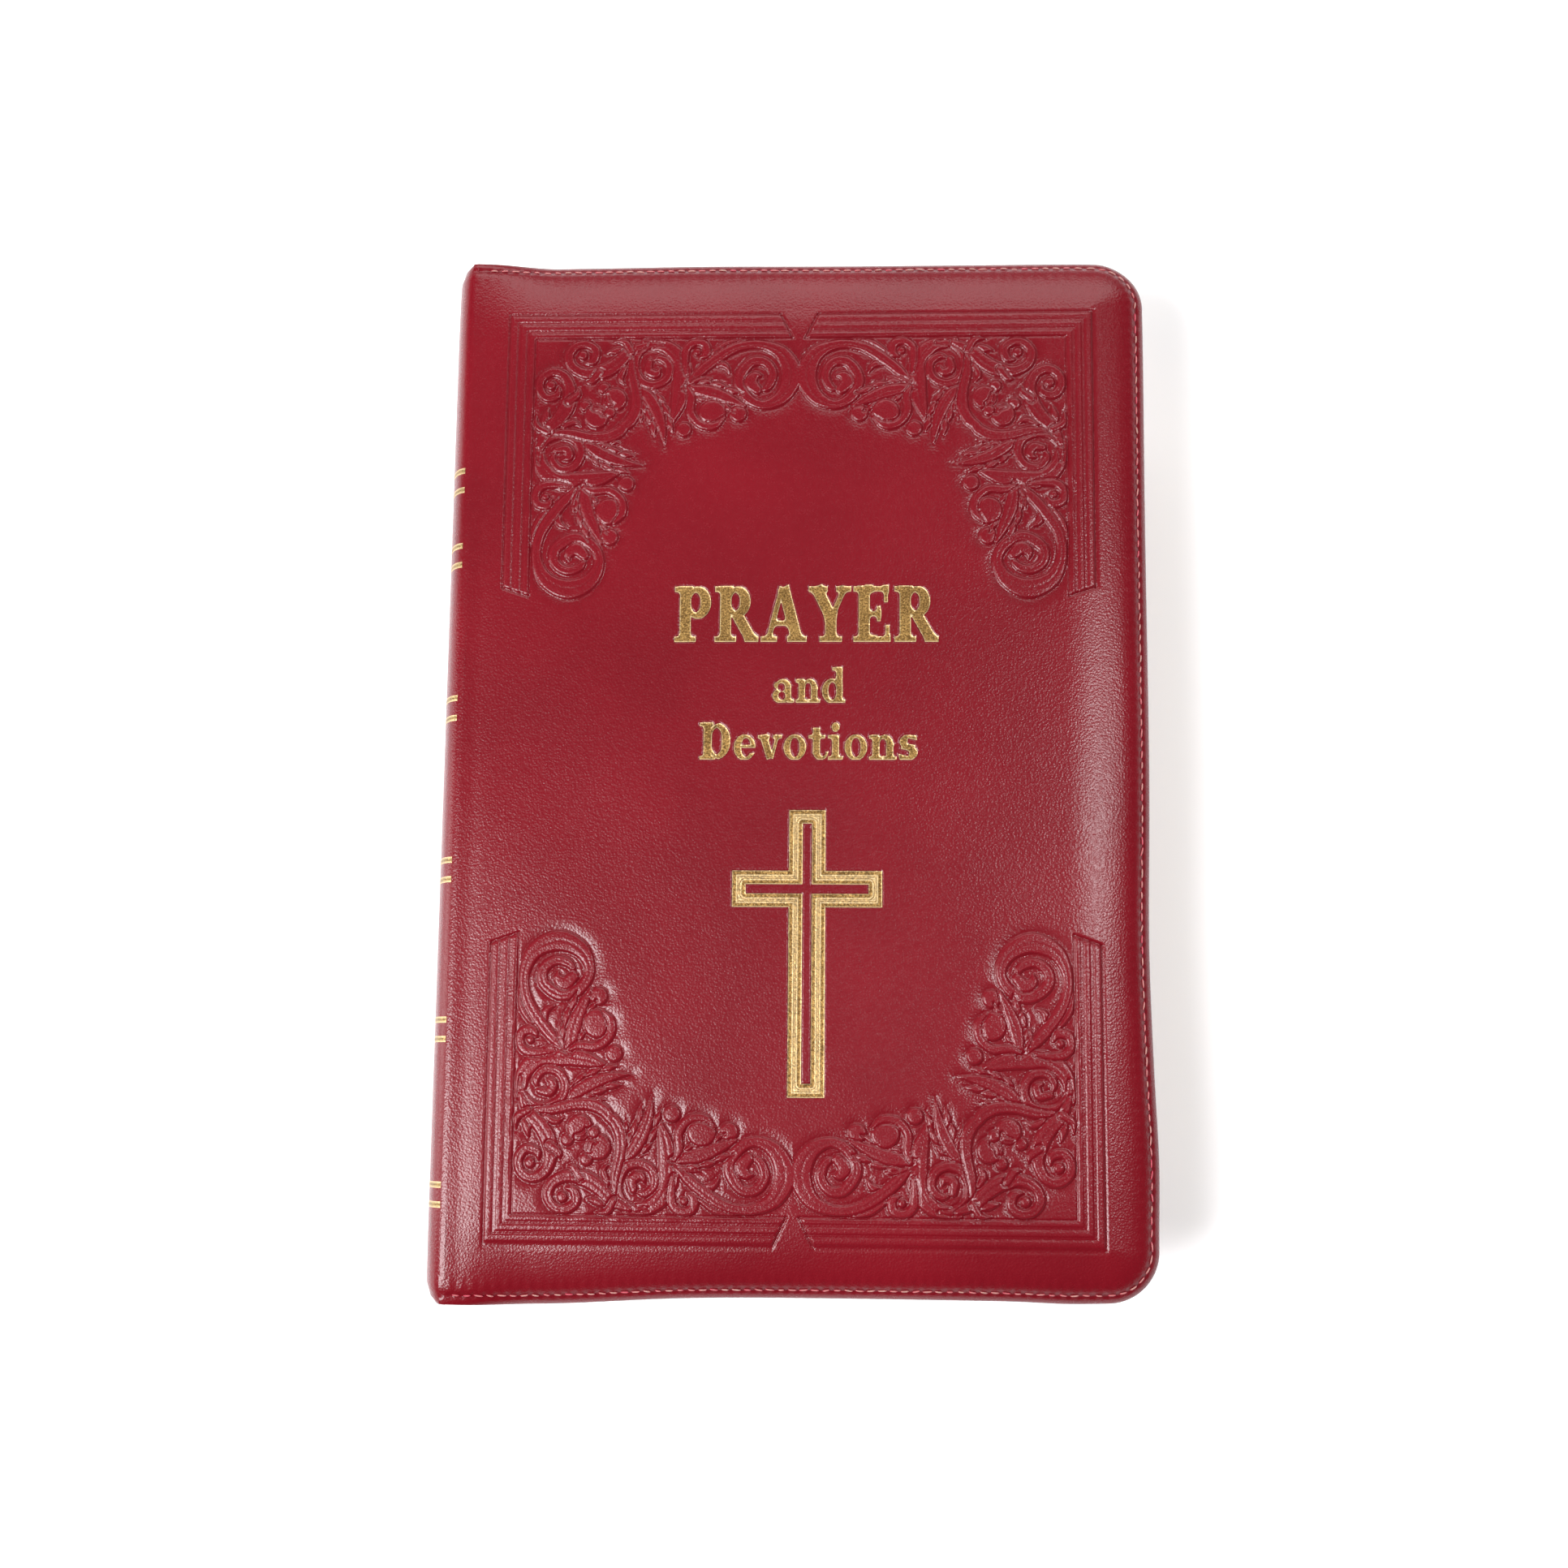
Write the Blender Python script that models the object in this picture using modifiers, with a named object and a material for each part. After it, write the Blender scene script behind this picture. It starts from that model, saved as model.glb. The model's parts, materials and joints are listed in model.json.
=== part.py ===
"""Leather-bound prayer book lying shut on its back cover.

+X points to the fore-edge, +Y to the head and +Z up through the front cover. The book stands on z = 0.
Two covers, a rounded spine and a sewn page block are separate pieces. The front cover, its flyleaf and
the front leaf groups turn on one line along the front shoulder, and the back cover and its flyleaf on
one line along the back shoulder.
"""

import math

import bmesh
import bpy
from mathutils import Vector

# Driving dimensions, in metres.
WIDTH = 0.155
HEIGHT = 0.226
THICKNESS = 0.042
SPINE_BULGE = 0.0063
GAP = 0.0003

# Covers: a leather shell whose free margins roll down over the pages, a thin board and a lining.
LEATHER = 0.0012
BOARD = 0.0011
LINING = 0.0004
LAYER_GAP = 0.00025
ROLL_WIDTH = 0.008
ROLL_DROP = 0.0055
ROLL_TURN = 0.98
ROLL_RINGS = 5
COVER_CORNER = 0.0105
BOARD_MARGIN = 0.0092
BOARD_CORNER = 0.0065
BOARD_HINGE_GAP = 0.004
LINING_MARGIN = 0.0068
LINING_CORNER = 0.0075
LINING_HINGE_GAP = 0.001

# Edge stitching.
STITCH_MARGIN = 0.0018
STITCH_HINGE_GAP = 0.0012
THREAD_RADIUS = 0.00022

# Pages.
PAGE_FORE_MARGIN = 0.0041
PAGE_END_MARGIN = 0.0035
PAGE_HINGE_GAP = 0.0009
PAGE_CORNER = 0.008
LEAF = 0.0003
LEAF_GROUPS = 5
LEAF_GROUP = 0.0011
SECTIONS = 6
ROUND_BACK = 0.0032
HOLLOW_EDGE = 0.0022

# Spine build-up.
TAPE = 0.0004
TAPE_WIDTH = 0.014
TAPE_PITCH = 0.062
TAPE_COUNT = 3
TAPE_SHORT = 0.002
MULL = 0.0003
MULL_SHORT = 0.001
MULL_MARGIN = 0.006
SPINE_CARD = 0.0006
CARD_MARGIN = 0.004
CARD_REACH = 52
LEATHER_REACH = 90
BAND_RADIUS = 0.0009
BAND_SHORT = 0.0015

# Gold cross stamped on the front cover.
CROSS_CENTRE_X = 0.0042
CROSS_TOP_Y = -0.0111
CROSS_LENGTH = 0.0611
CROSS_SPAN = 0.0321
CROSS_BAR = 0.0078
CROSS_ARM_Y = -0.0281
CROSS_RIM = 0.0029
FOIL = 0.0001

# Smoothness of the arcs.
CORNER_STEPS = 7
ARC_STEPS = 14

# Worked out from the above.
SPINE_X = -WIDTH / 2
FORE_X = WIDTH / 2
HINGE_X = SPINE_X + SPINE_BULGE
MIDDLE_Z = THICKNESS / 2
COVER_STACK = LEATHER + LAYER_GAP + BOARD + LAYER_GAP + LINING
LEAF_SPINE_X = HINGE_X + PAGE_HINGE_GAP
PAGE_FORE_X = FORE_X - PAGE_FORE_MARGIN
PAGE_HALF = HEIGHT / 2 - PAGE_END_MARGIN

CRIMSON = (0.28, 0.014, 0.030)
GOLD = (0.72, 0.47, 0.14)
PAPER = (0.86, 0.81, 0.70)


def clear_scene():
    for obj in list(bpy.data.objects):
        bpy.data.objects.remove(obj, do_unlink=True)


def new_collection(name):
    collection = bpy.data.collections.new(name)
    bpy.context.scene.collection.children.link(collection)
    return collection


def principled(name, colour, roughness, metallic=0.0):
    material = bpy.data.materials.new(name)
    material.use_nodes = True
    shader = material.node_tree.nodes["Principled BSDF"]
    shader.inputs["Base Color"].default_value = (*colour, 1.0)
    shader.inputs["Roughness"].default_value = roughness
    shader.inputs["Metallic"].default_value = metallic
    return material


def add_pivot(name, z):
    """An empty on a shoulder line, which the pieces of one moving body hang on."""
    pivot = bpy.data.objects.new(name, None)
    pivot.location = (HINGE_X, 0.0, z)
    pivot.empty_display_size = 0.01
    BOOK.objects.link(pivot)
    return pivot


def add_piece(name, data, material, pivot=None, location=(0.0, 0.0, 0.0)):
    """Links a piece at a place given in world coordinates."""
    piece = bpy.data.objects.new(name, data)
    data.materials.append(material)
    piece.location = Vector(location)
    if pivot:
        piece.parent = pivot
        piece.location -= pivot.location
    BOOK.objects.link(piece)
    return piece


def solidify(piece, thickness):
    """Thickens a sheet on the side away from its normals."""
    modifier = piece.modifiers.new("thickness", "SOLIDIFY")
    modifier.thickness = thickness
    modifier.offset = -1.0
    modifier.use_even_offset = True


def arc_points(centre, radius, start, end, steps):
    points = []
    for step in range(steps + 1):
        angle = math.radians(start + (end - start) * step / steps)
        points.append((centre[0] + radius * math.cos(angle), centre[1] + radius * math.sin(angle)))
    return points


def leaf_outline(spine_x, fore_x, half_height, corner):
    """Counterclockwise outline with a square spine side and rounded fore-edge corners."""
    corner_x = fore_x - corner
    corner_y = half_height - corner
    outline = [(spine_x, half_height), (spine_x, -half_height)]
    outline += arc_points((corner_x, -corner_y), corner, -90, 0, CORNER_STEPS)
    outline += arc_points((corner_x, corner_y), corner, 0, 90, CORNER_STEPS)
    return outline


def plate_curve(name, outlines, thickness):
    """A flat plate, centred on its own middle plane. The outlines after the first are holes."""
    curve = bpy.data.curves.new(name, "CURVE")
    curve.dimensions = "2D"
    curve.fill_mode = "BOTH"
    curve.extrude = thickness / 2
    for outline in outlines:
        spline = curve.splines.new("POLY")
        spline.points.add(len(outline) - 1)
        spline.use_cyclic_u = True
        for point, (x, y) in zip(spline.points, outline):
            point.co = (x, y, 0.0, 1.0)
    return curve


def tube_curve(name, points, radius):
    curve = bpy.data.curves.new(name, "CURVE")
    curve.dimensions = "3D"
    curve.bevel_depth = radius
    curve.bevel_resolution = 2
    curve.use_fill_caps = True
    spline = curve.splines.new("POLY")
    spline.points.add(len(points) - 1)
    for point, place in zip(spline.points, points):
        point.co = (*place, 1.0)
    return curve


def roll_drop(inset):
    """How far the leather has rolled down at a distance in from its free edge."""
    share = max(0.0, 1.0 - inset / ROLL_WIDTH)
    return ROLL_DROP * (1.0 - math.sqrt(1.0 - ROLL_TURN * share * share))


def cover_sheet(name, side):
    """The outer face of a cover: flat inside, rolled over along the head, fore-edge and tail."""
    mesh = bpy.data.meshes.new(name)
    bm = bmesh.new()
    beyond_spine = HINGE_X - 2 * ROLL_WIDTH
    outline = leaf_outline(beyond_spine, FORE_X, HEIGHT / 2, COVER_CORNER)
    face = bm.faces.new([bm.verts.new((x, y, -roll_drop(0.0))) for x, y in outline])
    inset = 0.0
    for ring in range(1, ROLL_RINGS + 1):
        next_inset = ROLL_WIDTH * (1.0 - math.cos(math.pi / 2 * ring / ROLL_RINGS))
        bmesh.ops.inset_individual(bm, faces=[face], thickness=next_inset - inset, use_even_offset=True)
        inset = next_inset
        for vertex in face.verts:
            vertex.co.z = -roll_drop(inset)
    everything = bm.verts[:] + bm.edges[:] + bm.faces[:]
    bmesh.ops.bisect_plane(
        bm,
        geom=everything,
        dist=1e-7,
        plane_co=(HINGE_X + GAP, 0.0, 0.0),
        plane_no=(1.0, 0.0, 0.0),
        clear_inner=True,
    )
    bmesh.ops.recalc_face_normals(bm, faces=bm.faces[:])
    if side < 0:
        bmesh.ops.scale(bm, vec=(1.0, 1.0, -1.0), verts=bm.verts[:])
    bm.normal_update()
    flat_face = max(bm.faces, key=lambda one: one.calc_area())
    if flat_face.normal.z * side < 0:
        bmesh.ops.reverse_faces(bm, faces=bm.faces[:])
    bm.to_mesh(mesh)
    bm.free()
    return mesh


def stitch_path(side):
    """The line of edge stitching, from the spine end of the head round to the spine end of the tail."""
    lift = LAYER_GAP + THREAD_RADIUS
    lean = math.sin(math.radians(45)) * lift
    inset = STITCH_MARGIN - lean
    z = side * (lean - roll_drop(STITCH_MARGIN))
    spine_x = HINGE_X + STITCH_HINGE_GAP
    outline = leaf_outline(spine_x, FORE_X - inset, HEIGHT / 2 - inset, COVER_CORNER - inset)
    outline.append(outline.pop(0))
    return [(x, y, z) for x, y in outline]


def build_cover(label, side, outer_z):
    """One cover with its board, lining and edge thread. side is +1 on the front and -1 on the back."""
    pivot = add_pivot(label + "_cover_hinge", outer_z)
    leather = add_piece(
        label + "_cover_leather", cover_sheet(label + "_cover_leather", side), LEATHER_RED, pivot,
        (0.0, 0.0, outer_z))
    solidify(leather, LEATHER)

    board_z = outer_z - side * (LEATHER + LAYER_GAP + BOARD / 2)
    board_outline = leaf_outline(
        HINGE_X + BOARD_HINGE_GAP, FORE_X - BOARD_MARGIN, HEIGHT / 2 - BOARD_MARGIN, BOARD_CORNER)
    board = plate_curve(label + "_cover_board", [board_outline], BOARD)
    add_piece(label + "_cover_board", board, BOARD_GREY, pivot, (0.0, 0.0, board_z))

    lining_z = outer_z - side * (COVER_STACK - LINING / 2)
    lining_outline = leaf_outline(
        HINGE_X + LINING_HINGE_GAP, FORE_X - LINING_MARGIN, HEIGHT / 2 - LINING_MARGIN, LINING_CORNER)
    lining = plate_curve(label + "_cover_lining", [lining_outline], LINING)
    add_piece(label + "_cover_lining", lining, LINING_RED, pivot, (0.0, 0.0, lining_z))

    thread = tube_curve(label + "_edge_thread", stitch_path(side), THREAD_RADIUS)
    add_piece(label + "_edge_thread", thread, THREAD_PINK, pivot, (0.0, 0.0, outer_z))
    return pivot


def cross_outline(inset):
    """Latin cross, drawn in from its outer edge by inset, counterclockwise from the foot."""
    half_bar = CROSS_BAR / 2 - inset
    half_span = CROSS_SPAN / 2 - inset
    top = CROSS_TOP_Y - inset
    foot = CROSS_TOP_Y - CROSS_LENGTH + inset
    arm_low = CROSS_ARM_Y - half_bar
    arm_high = CROSS_ARM_Y + half_bar
    right = [
        (half_bar, foot), (half_bar, arm_low), (half_span, arm_low),
        (half_span, arm_high), (half_bar, arm_high), (half_bar, top),
    ]
    left = [(-x, y) for x, y in reversed(right)]
    return right + left


def build_cross(pivot):
    foil = plate_curve("cross_foil", [cross_outline(0.0), cross_outline(CROSS_RIM)], FOIL)
    z = THICKNESS + GAP / 2 + FOIL / 2
    add_piece("cross_foil", foil, FOIL_GOLD, pivot, (CROSS_CENTRE_X, 0.0, z))


def crown(z):
    """0 at the two shoulders of the page block and 1 half-way between them."""
    half = MIDDLE_Z - COVER_STACK
    return max(0.0, 1.0 - ((z - MIDDLE_Z) / half) ** 2)


def back_x(z):
    """The rounded back of the page block."""
    return LEAF_SPINE_X - ROUND_BACK * crown(z)


def build_leaves(name, low_z, thickness, pivot=None, material=None):
    """A slab of pages whose spine side and fore-edge follow the rounding of the block."""
    middle = low_z + thickness / 2
    fore_x = PAGE_FORE_X - HOLLOW_EDGE * crown(middle)
    flattest_x = max(back_x(low_z), back_x(low_z + thickness))
    spine_x = flattest_x if pivot is None else LEAF_SPINE_X
    outline = leaf_outline(spine_x, fore_x, PAGE_HALF, PAGE_CORNER)
    add_piece(name, plate_curve(name, [outline], thickness), material or PAGE_PAPER, pivot,
              (0.0, 0.0, middle))


def bent_sheet(name, profile, low_y, high_y, thickness, material):
    """A sheet extruded along Y from a line of (x, z) points that runs up the spine."""
    mesh = bpy.data.meshes.new(name)
    bm = bmesh.new()
    bmesh.ops.create_grid(bm, x_segments=1, y_segments=len(profile) - 1, size=1.0)
    for vertex in bm.verts:
        step = round((vertex.co.y + 1.0) / 2.0 * (len(profile) - 1))
        x, z = profile[step]
        y = high_y if vertex.co.x < 0 else low_y
        vertex.co = (x, y, z)
    bm.to_mesh(mesh)
    bm.free()
    sheet = add_piece(name, mesh, material)
    solidify(sheet, thickness)
    return sheet


def back_profile(offset, low_z, high_z):
    """A line up the rounded back of the block, a given distance outside it."""
    points = []
    for step in range(ARC_STEPS + 1):
        z = low_z + (high_z - low_z) * step / ARC_STEPS
        points.append((back_x(z) - offset, z))
    return points


def spine_profile(depth, reach):
    """The half ellipse of the spine, depth inside its outer face and reach degrees from its middle."""
    across = SPINE_BULGE - GAP - depth
    up = MIDDLE_Z - GAP - depth
    points = []
    for step in range(ARC_STEPS + 1):
        angle = math.radians(reach * (2.0 * step / ARC_STEPS - 1.0))
        points.append((HINGE_X - GAP - across * math.cos(angle), MIDDLE_Z + up * math.sin(angle)))
    return points


def build_spine():
    low = COVER_STACK + 2 * GAP + LEAF
    high = THICKNESS - low
    tape_face = GAP + TAPE
    mull_face = tape_face + GAP + MULL
    for number in range(1, TAPE_COUNT + 1):
        y = TAPE_PITCH * (number - (TAPE_COUNT + 1) / 2)
        tape_line = back_profile(tape_face, low + TAPE_SHORT, high - TAPE_SHORT)
        bent_sheet(f"sewing_tape_{number}", tape_line, y - TAPE_WIDTH / 2, y + TAPE_WIDTH / 2, TAPE,
                   TAPE_LINEN)
    mull_half = PAGE_HALF - MULL_MARGIN
    mull_line = back_profile(mull_face, low + MULL_SHORT, high - MULL_SHORT)
    bent_sheet("spine_mull", mull_line, -mull_half, mull_half, MULL, TAPE_LINEN)
    card_half = HEIGHT / 2 - CARD_MARGIN
    card_line = spine_profile(LEATHER + GAP, CARD_REACH)
    bent_sheet("spine_card", card_line, -card_half, card_half, SPINE_CARD, BOARD_GREY)
    leather_line = spine_profile(0.0, LEATHER_REACH)
    bent_sheet("spine_leather", leather_line, -HEIGHT / 2, HEIGHT / 2, LEATHER, LEATHER_RED)
    for name, end in (("head_band", 1), ("tail_band", -1)):
        y = end * (PAGE_HALF + GAP + BAND_RADIUS)
        band_line = back_profile(0.0, low + BAND_SHORT, high - BAND_SHORT)
        path = [(x + BAND_RADIUS, y, z) for x, z in band_line]
        add_piece(name, tube_curve(name, path, BAND_RADIUS), BAND_SILK)


def build_pages():
    """Leaf groups from the front cover down, then the sewn sections between them and the back."""
    top = THICKNESS - COVER_STACK - GAP - LEAF
    pivot = add_pivot("front_flyleaf_hinge", THICKNESS)
    build_leaves("front_flyleaf", top, LEAF, pivot, ENDPAPER)
    for number in range(1, LEAF_GROUPS + 1):
        top -= GAP + LEAF_GROUP
        pivot = add_pivot(f"leaf_group_{number}_hinge", THICKNESS)
        build_leaves(f"leaf_group_{number}", top, LEAF_GROUP, pivot)

    pivot = add_pivot("back_flyleaf_hinge", 0.0)
    low = COVER_STACK + GAP
    build_leaves("back_flyleaf", low, LEAF, pivot, ENDPAPER)

    low += LEAF + GAP
    pitch = (top - low) / SECTIONS
    for number in range(1, SECTIONS + 1):
        build_leaves(f"sewn_sections_{number}", low + pitch * (SECTIONS - number), pitch - GAP)


clear_scene()
BOOK = new_collection("prayer_book")
LEATHER_RED = principled("crimson leather", CRIMSON, 0.42)
LINING_RED = principled("lining leather", (0.20, 0.012, 0.022), 0.55)
BOARD_GREY = principled("grey board", (0.42, 0.38, 0.33), 0.9)
THREAD_PINK = principled("edge thread", (0.70, 0.38, 0.33), 0.6)
FOIL_GOLD = principled("gold foil", GOLD, 0.28, 1.0)
PAGE_PAPER = principled("page paper", PAPER, 0.85)
ENDPAPER = principled("endpaper", (0.80, 0.74, 0.62), 0.8)
TAPE_LINEN = principled("linen", (0.74, 0.69, 0.58), 0.9)
BAND_SILK = principled("head band silk", (0.66, 0.14, 0.14), 0.5)

front_pivot = build_cover("front", 1, THICKNESS)
build_cover("back", -1, 0.0)
build_cross(front_pivot)
build_pages()
build_spine()
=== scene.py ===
"""Looks of the leather-bound prayer book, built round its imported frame.

Lengths in the making of shapes are in millimetres, in the frame's own directions: +X to the
fore-edge, +Y to the head and +Z up through the front cover. make_mesh turns them into metres.
"""

import json
import math

import bpy
import numpy as np
from mathutils import Matrix, Vector


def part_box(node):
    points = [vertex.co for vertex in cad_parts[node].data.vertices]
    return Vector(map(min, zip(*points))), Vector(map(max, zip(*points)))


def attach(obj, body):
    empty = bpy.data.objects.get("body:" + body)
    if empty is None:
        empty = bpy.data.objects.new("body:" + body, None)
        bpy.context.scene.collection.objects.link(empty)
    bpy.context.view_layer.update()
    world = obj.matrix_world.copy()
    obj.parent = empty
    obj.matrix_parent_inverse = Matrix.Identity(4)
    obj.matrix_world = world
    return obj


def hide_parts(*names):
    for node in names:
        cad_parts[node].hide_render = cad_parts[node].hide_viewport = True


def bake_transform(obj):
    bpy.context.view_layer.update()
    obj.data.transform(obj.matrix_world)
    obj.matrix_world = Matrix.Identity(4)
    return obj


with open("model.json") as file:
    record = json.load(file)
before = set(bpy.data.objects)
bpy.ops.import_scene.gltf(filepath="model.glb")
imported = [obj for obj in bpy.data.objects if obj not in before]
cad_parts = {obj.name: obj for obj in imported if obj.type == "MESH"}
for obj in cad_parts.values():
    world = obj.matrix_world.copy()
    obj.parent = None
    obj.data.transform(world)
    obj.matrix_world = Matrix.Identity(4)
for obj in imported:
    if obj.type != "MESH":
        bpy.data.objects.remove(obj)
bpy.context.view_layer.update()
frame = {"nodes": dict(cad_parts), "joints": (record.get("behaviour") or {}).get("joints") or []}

MM = 0.001
JOINTS = {joint["name"]: joint for joint in frame["joints"]}


def node_box(name):
    """The lowest and highest corner of a CAD piece."""
    low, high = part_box(name)
    return np.array(low) / MM, np.array(high) / MM


# Places read from the frame.
HINGE_X = JOINTS["front_cover_hinge"]["pos_m"][0] / MM
FORE_X, HEAD_Y, TOP_Z = node_box("front_cover_leather")[1]
SPINE_X = node_box("spine_leather")[0][0]
LINING_Z = node_box("front_cover_lining")[0][2]
PAGE_HALF, BLOCK_HIGH_Z = node_box("sewn_sections_1")[1][1:]
BLOCK_LOW_Z = node_box("sewn_sections_6")[0][2]

# Covers: the leather rolls down at its free edges, over a padded margin.
COVER_CORNER = 10.5
LEATHER = 1.3
ROLL_WIDTH = 6.0
ROLL_DROP = 2.4
ROLL_TURN = 0.98
CUSHION_WIDTH = 18.0
CUSHION_DROP = 3.9
CUSHION_POWER = 2.2
LIP_STEPS = 6
TUCKED_IN = (1.8, 2.6, 3.8, 5.4, 7.6)  # how far in each row of leather under the edge lies
SHOULDER_START = 1.2
HOLLOW_DEPTH = 0.08
PLAIN_STEP = 2.5
PLAIN_HALF = 35
CORNER_X = FORE_X - COVER_CORNER
CORNER_Y = HEAD_Y - COVER_CORNER

# Waves of the soft edges: how far an edge stands out, then humps of (size, middle, width).
HEAD_WAVES = (1.6, (-0.65, -74, 11), (0.25, -20, 20), (-0.5, 74, 6))
TAIL_WAVES = (0.9, (1.0, -72, 16), (1.6, -51, 23), (-0.1, 10, 26), (0.4, 60, 9))
FORE_WAVES = (0.75, (0.3, 96, 30), (-0.8, -40, 26), (0.45, -86, 13))
WAVE_REACH = 13.0
WAVE_START = 16.0
WAVE_FULL = 9.0

# Edge stitching. Its line runs from the spine along the head, down the fore-edge and back.
STITCH_MARGIN = 1.8
STITCH_PITCH = 2.35
STITCH_RADIUS = 0.17
LINE_RADIUS = COVER_CORNER - STITCH_MARGIN
LINE_STRAIGHT = CORNER_X - HINGE_X
LINE_CORNER = LINE_RADIUS * math.pi / 2
LINE_HALF = LINE_STRAIGHT + LINE_CORNER + CORNER_Y

# Blind-stamped corner pieces.
STAMP_MIDDLE = (1.7, -0.8)
STAMP_HALF = (65.05, 102.0)
PATCH_STEP = 0.15
PATCH_SPAN = 70.0
STROKE_RISE = 0.28
STROKE_FULLNESS = 1.22
GROOVE_WIDTH = 0.2
GROOVE_DEPTH = 0.20
VEIN_WIDTH = 0.15
VEIN_DEPTH = 0.10
GROUND_REACH = 1.3
GROUND_DEPTH = 0.17

# Their moulded frame: three bands, and incised lines of (depth, place, width).
LEVEL_ARM = 60.9
UPRIGHT_ARM = 63.0
MOULDING_WIDTH = 5.9
BAND_PITCH = 2.05
BAND_HEIGHT = 0.18
MOULDING_LINES = (
    (0.36, 0.0, 0.26), (0.18, 1.92, 0.15), (0.18, 2.42, 0.15), (0.18, 3.97, 0.15),
    (0.18, 4.47, 0.15), (0.28, MOULDING_WIDTH, 0.2))

# Gold stamping.
CROSS_X = 4.2
CROSS_TOP = -11.1
CROSS_FOOT = -72.2
CROSS_ARM_Y = -28.1
CROSS_HALF_SPAN = 16.05
CROSS_HALF_BAR = 3.9
CROSS_RIM = 2.9
FLUTES = (1.0, 1.5)
FOIL_STEP = 0.14
PRESS = 0.36
STAMPED_HALF_WIDTH = 34  # no gold lies beyond this and the next two
STAMPED_HEIGHTS = (-76, 42)
TITLE_BOX = ((-26, -3), (34, 40))

# Rows of the title: letters, left, right, foot and height of a capital.
TITLE_ROWS = (
    ("PRAYER", -25.2, 32.4, 25.9, 12.4),
    ("and", -3.6, 12.2, 12.4, 7.8),
    ("Devotions", -19.3, 28.1, -0.1, 8.1),
)

# Spine. Its ends draw in and are rounded off.
SPINE_SQUARENESS = 2.5
END_FADE = 0.22
END_ROUND = 2.6
END_RADIUS = 3.6
HEAD_REACH = 1.0
TAIL_REACH = 2.6
SPINE_LIP_STEPS = 5
SPINE_TURN_IN = 14.0
RULE_PAIRS = (
    (65.0, 60.6), (47.8, 43.5), (13.5, 9.1), (-22.1, -26.3), (-56.4, -60.5), (-91.0, -95.1))
RULE_WIDTH = 1.3
RULE_TURN = 1.42
FOIL_LIFT = 0.03
LOZENGE = (5.5, 8.5)
LOZENGE_SLOPE = 4.7
DOTS = ((0, 10.6), (0, -10.6), (7.6, 0), (-7.6, 0))
DOT_RADIUS = 0.95
ORNAMENT_MIDDLES = (87.5, 28.6, -6.3, -41.3, -75.8)

# Pages and the linings behind them.
PAGE_CORNER = 8.0
BACK_GAP = 1.15
BACK_ROUND = 3.2
FORE_GAP = 4.1
FORE_HOLLOW = 2.2
SECTION_PITCH = 1.65
LEAF_GUTTER = 16.0
BLOCK_GUTTER = 20.0
HINGE_PAPER = 0.12
LINEN_THREAD = 0.7

# Plain bars in place of print, in two columns. Their lines are counted from below the page.
COLUMN_MIDDLE = 30.0
COLUMN_HALF = 27.0
TEXT_HALF = 98.0
LINE_PITCH = 3.1
LINES_BELOW = 40.0
LINE_THICKNESS = 0.42
WORD_WIDTH = 3.4

# Colours of dyed leather, deep and bright, and of paper.
CRIMSON = ((0.124, 0.0032, 0.0074), (0.200, 0.0058, 0.0125))
LINING_RED = ((0.14, 0.008, 0.015), (0.20, 0.011, 0.022))
PAGE_CREAM = (0.62, 0.575, 0.48)
ENDPAPER_CREAM = (0.585, 0.53, 0.43)

# Spacing of the points of the stamped leather.
FINE = 0.25
FINER = 0.20

# Camera and lights, in metres.
CAMERA_PLACE = (0.0181, -0.0702, 0.4638)
CAMERA_WAY = (-0.0445, 0.1516, -0.9874)
CAMERA_HEAD = (-0.0088, 1.0, 0.0)
LENS = 45.5
FLOOR_RADIUS = 12.0
WHITE_LIGHT = (1, 1, 1)
ROSY_LIGHT = (1.0, 0.98, 1.0)


# ---------------------------------------------------------------- finishes


class Value:
    """A socket of a node, which can be used in sums."""

    def __init__(self, finish, socket):
        self.finish = finish
        self.socket = socket

    def sum(self, operation, *values):
        return self.finish.node("Math", {"operation": operation}, dict(enumerate(values)))

    def __add__(self, other):
        return self.sum("ADD", self, other)

    def __radd__(self, other):
        return self.sum("ADD", other, self)

    def __sub__(self, other):
        return self.sum("SUBTRACT", self, other)

    def __rsub__(self, other):
        return self.sum("SUBTRACT", other, self)

    def __mul__(self, other):
        return self.sum("MULTIPLY", self, other)

    def __rmul__(self, other):
        return self.sum("MULTIPLY", other, self)

    def __truediv__(self, other):
        return self.sum("DIVIDE", self, other)

    def __rtruediv__(self, other):
        return self.sum("DIVIDE", other, self)

    def __lt__(self, other):
        return self.sum("LESS_THAN", self, other)

    def __gt__(self, other):
        return self.sum("GREATER_THAN", self, other)

    def __abs__(self):
        return self.sum("ABSOLUTE", self)

    def clamped(self):
        return self.finish.node("Clamp", {}, {"Value": self})


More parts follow.
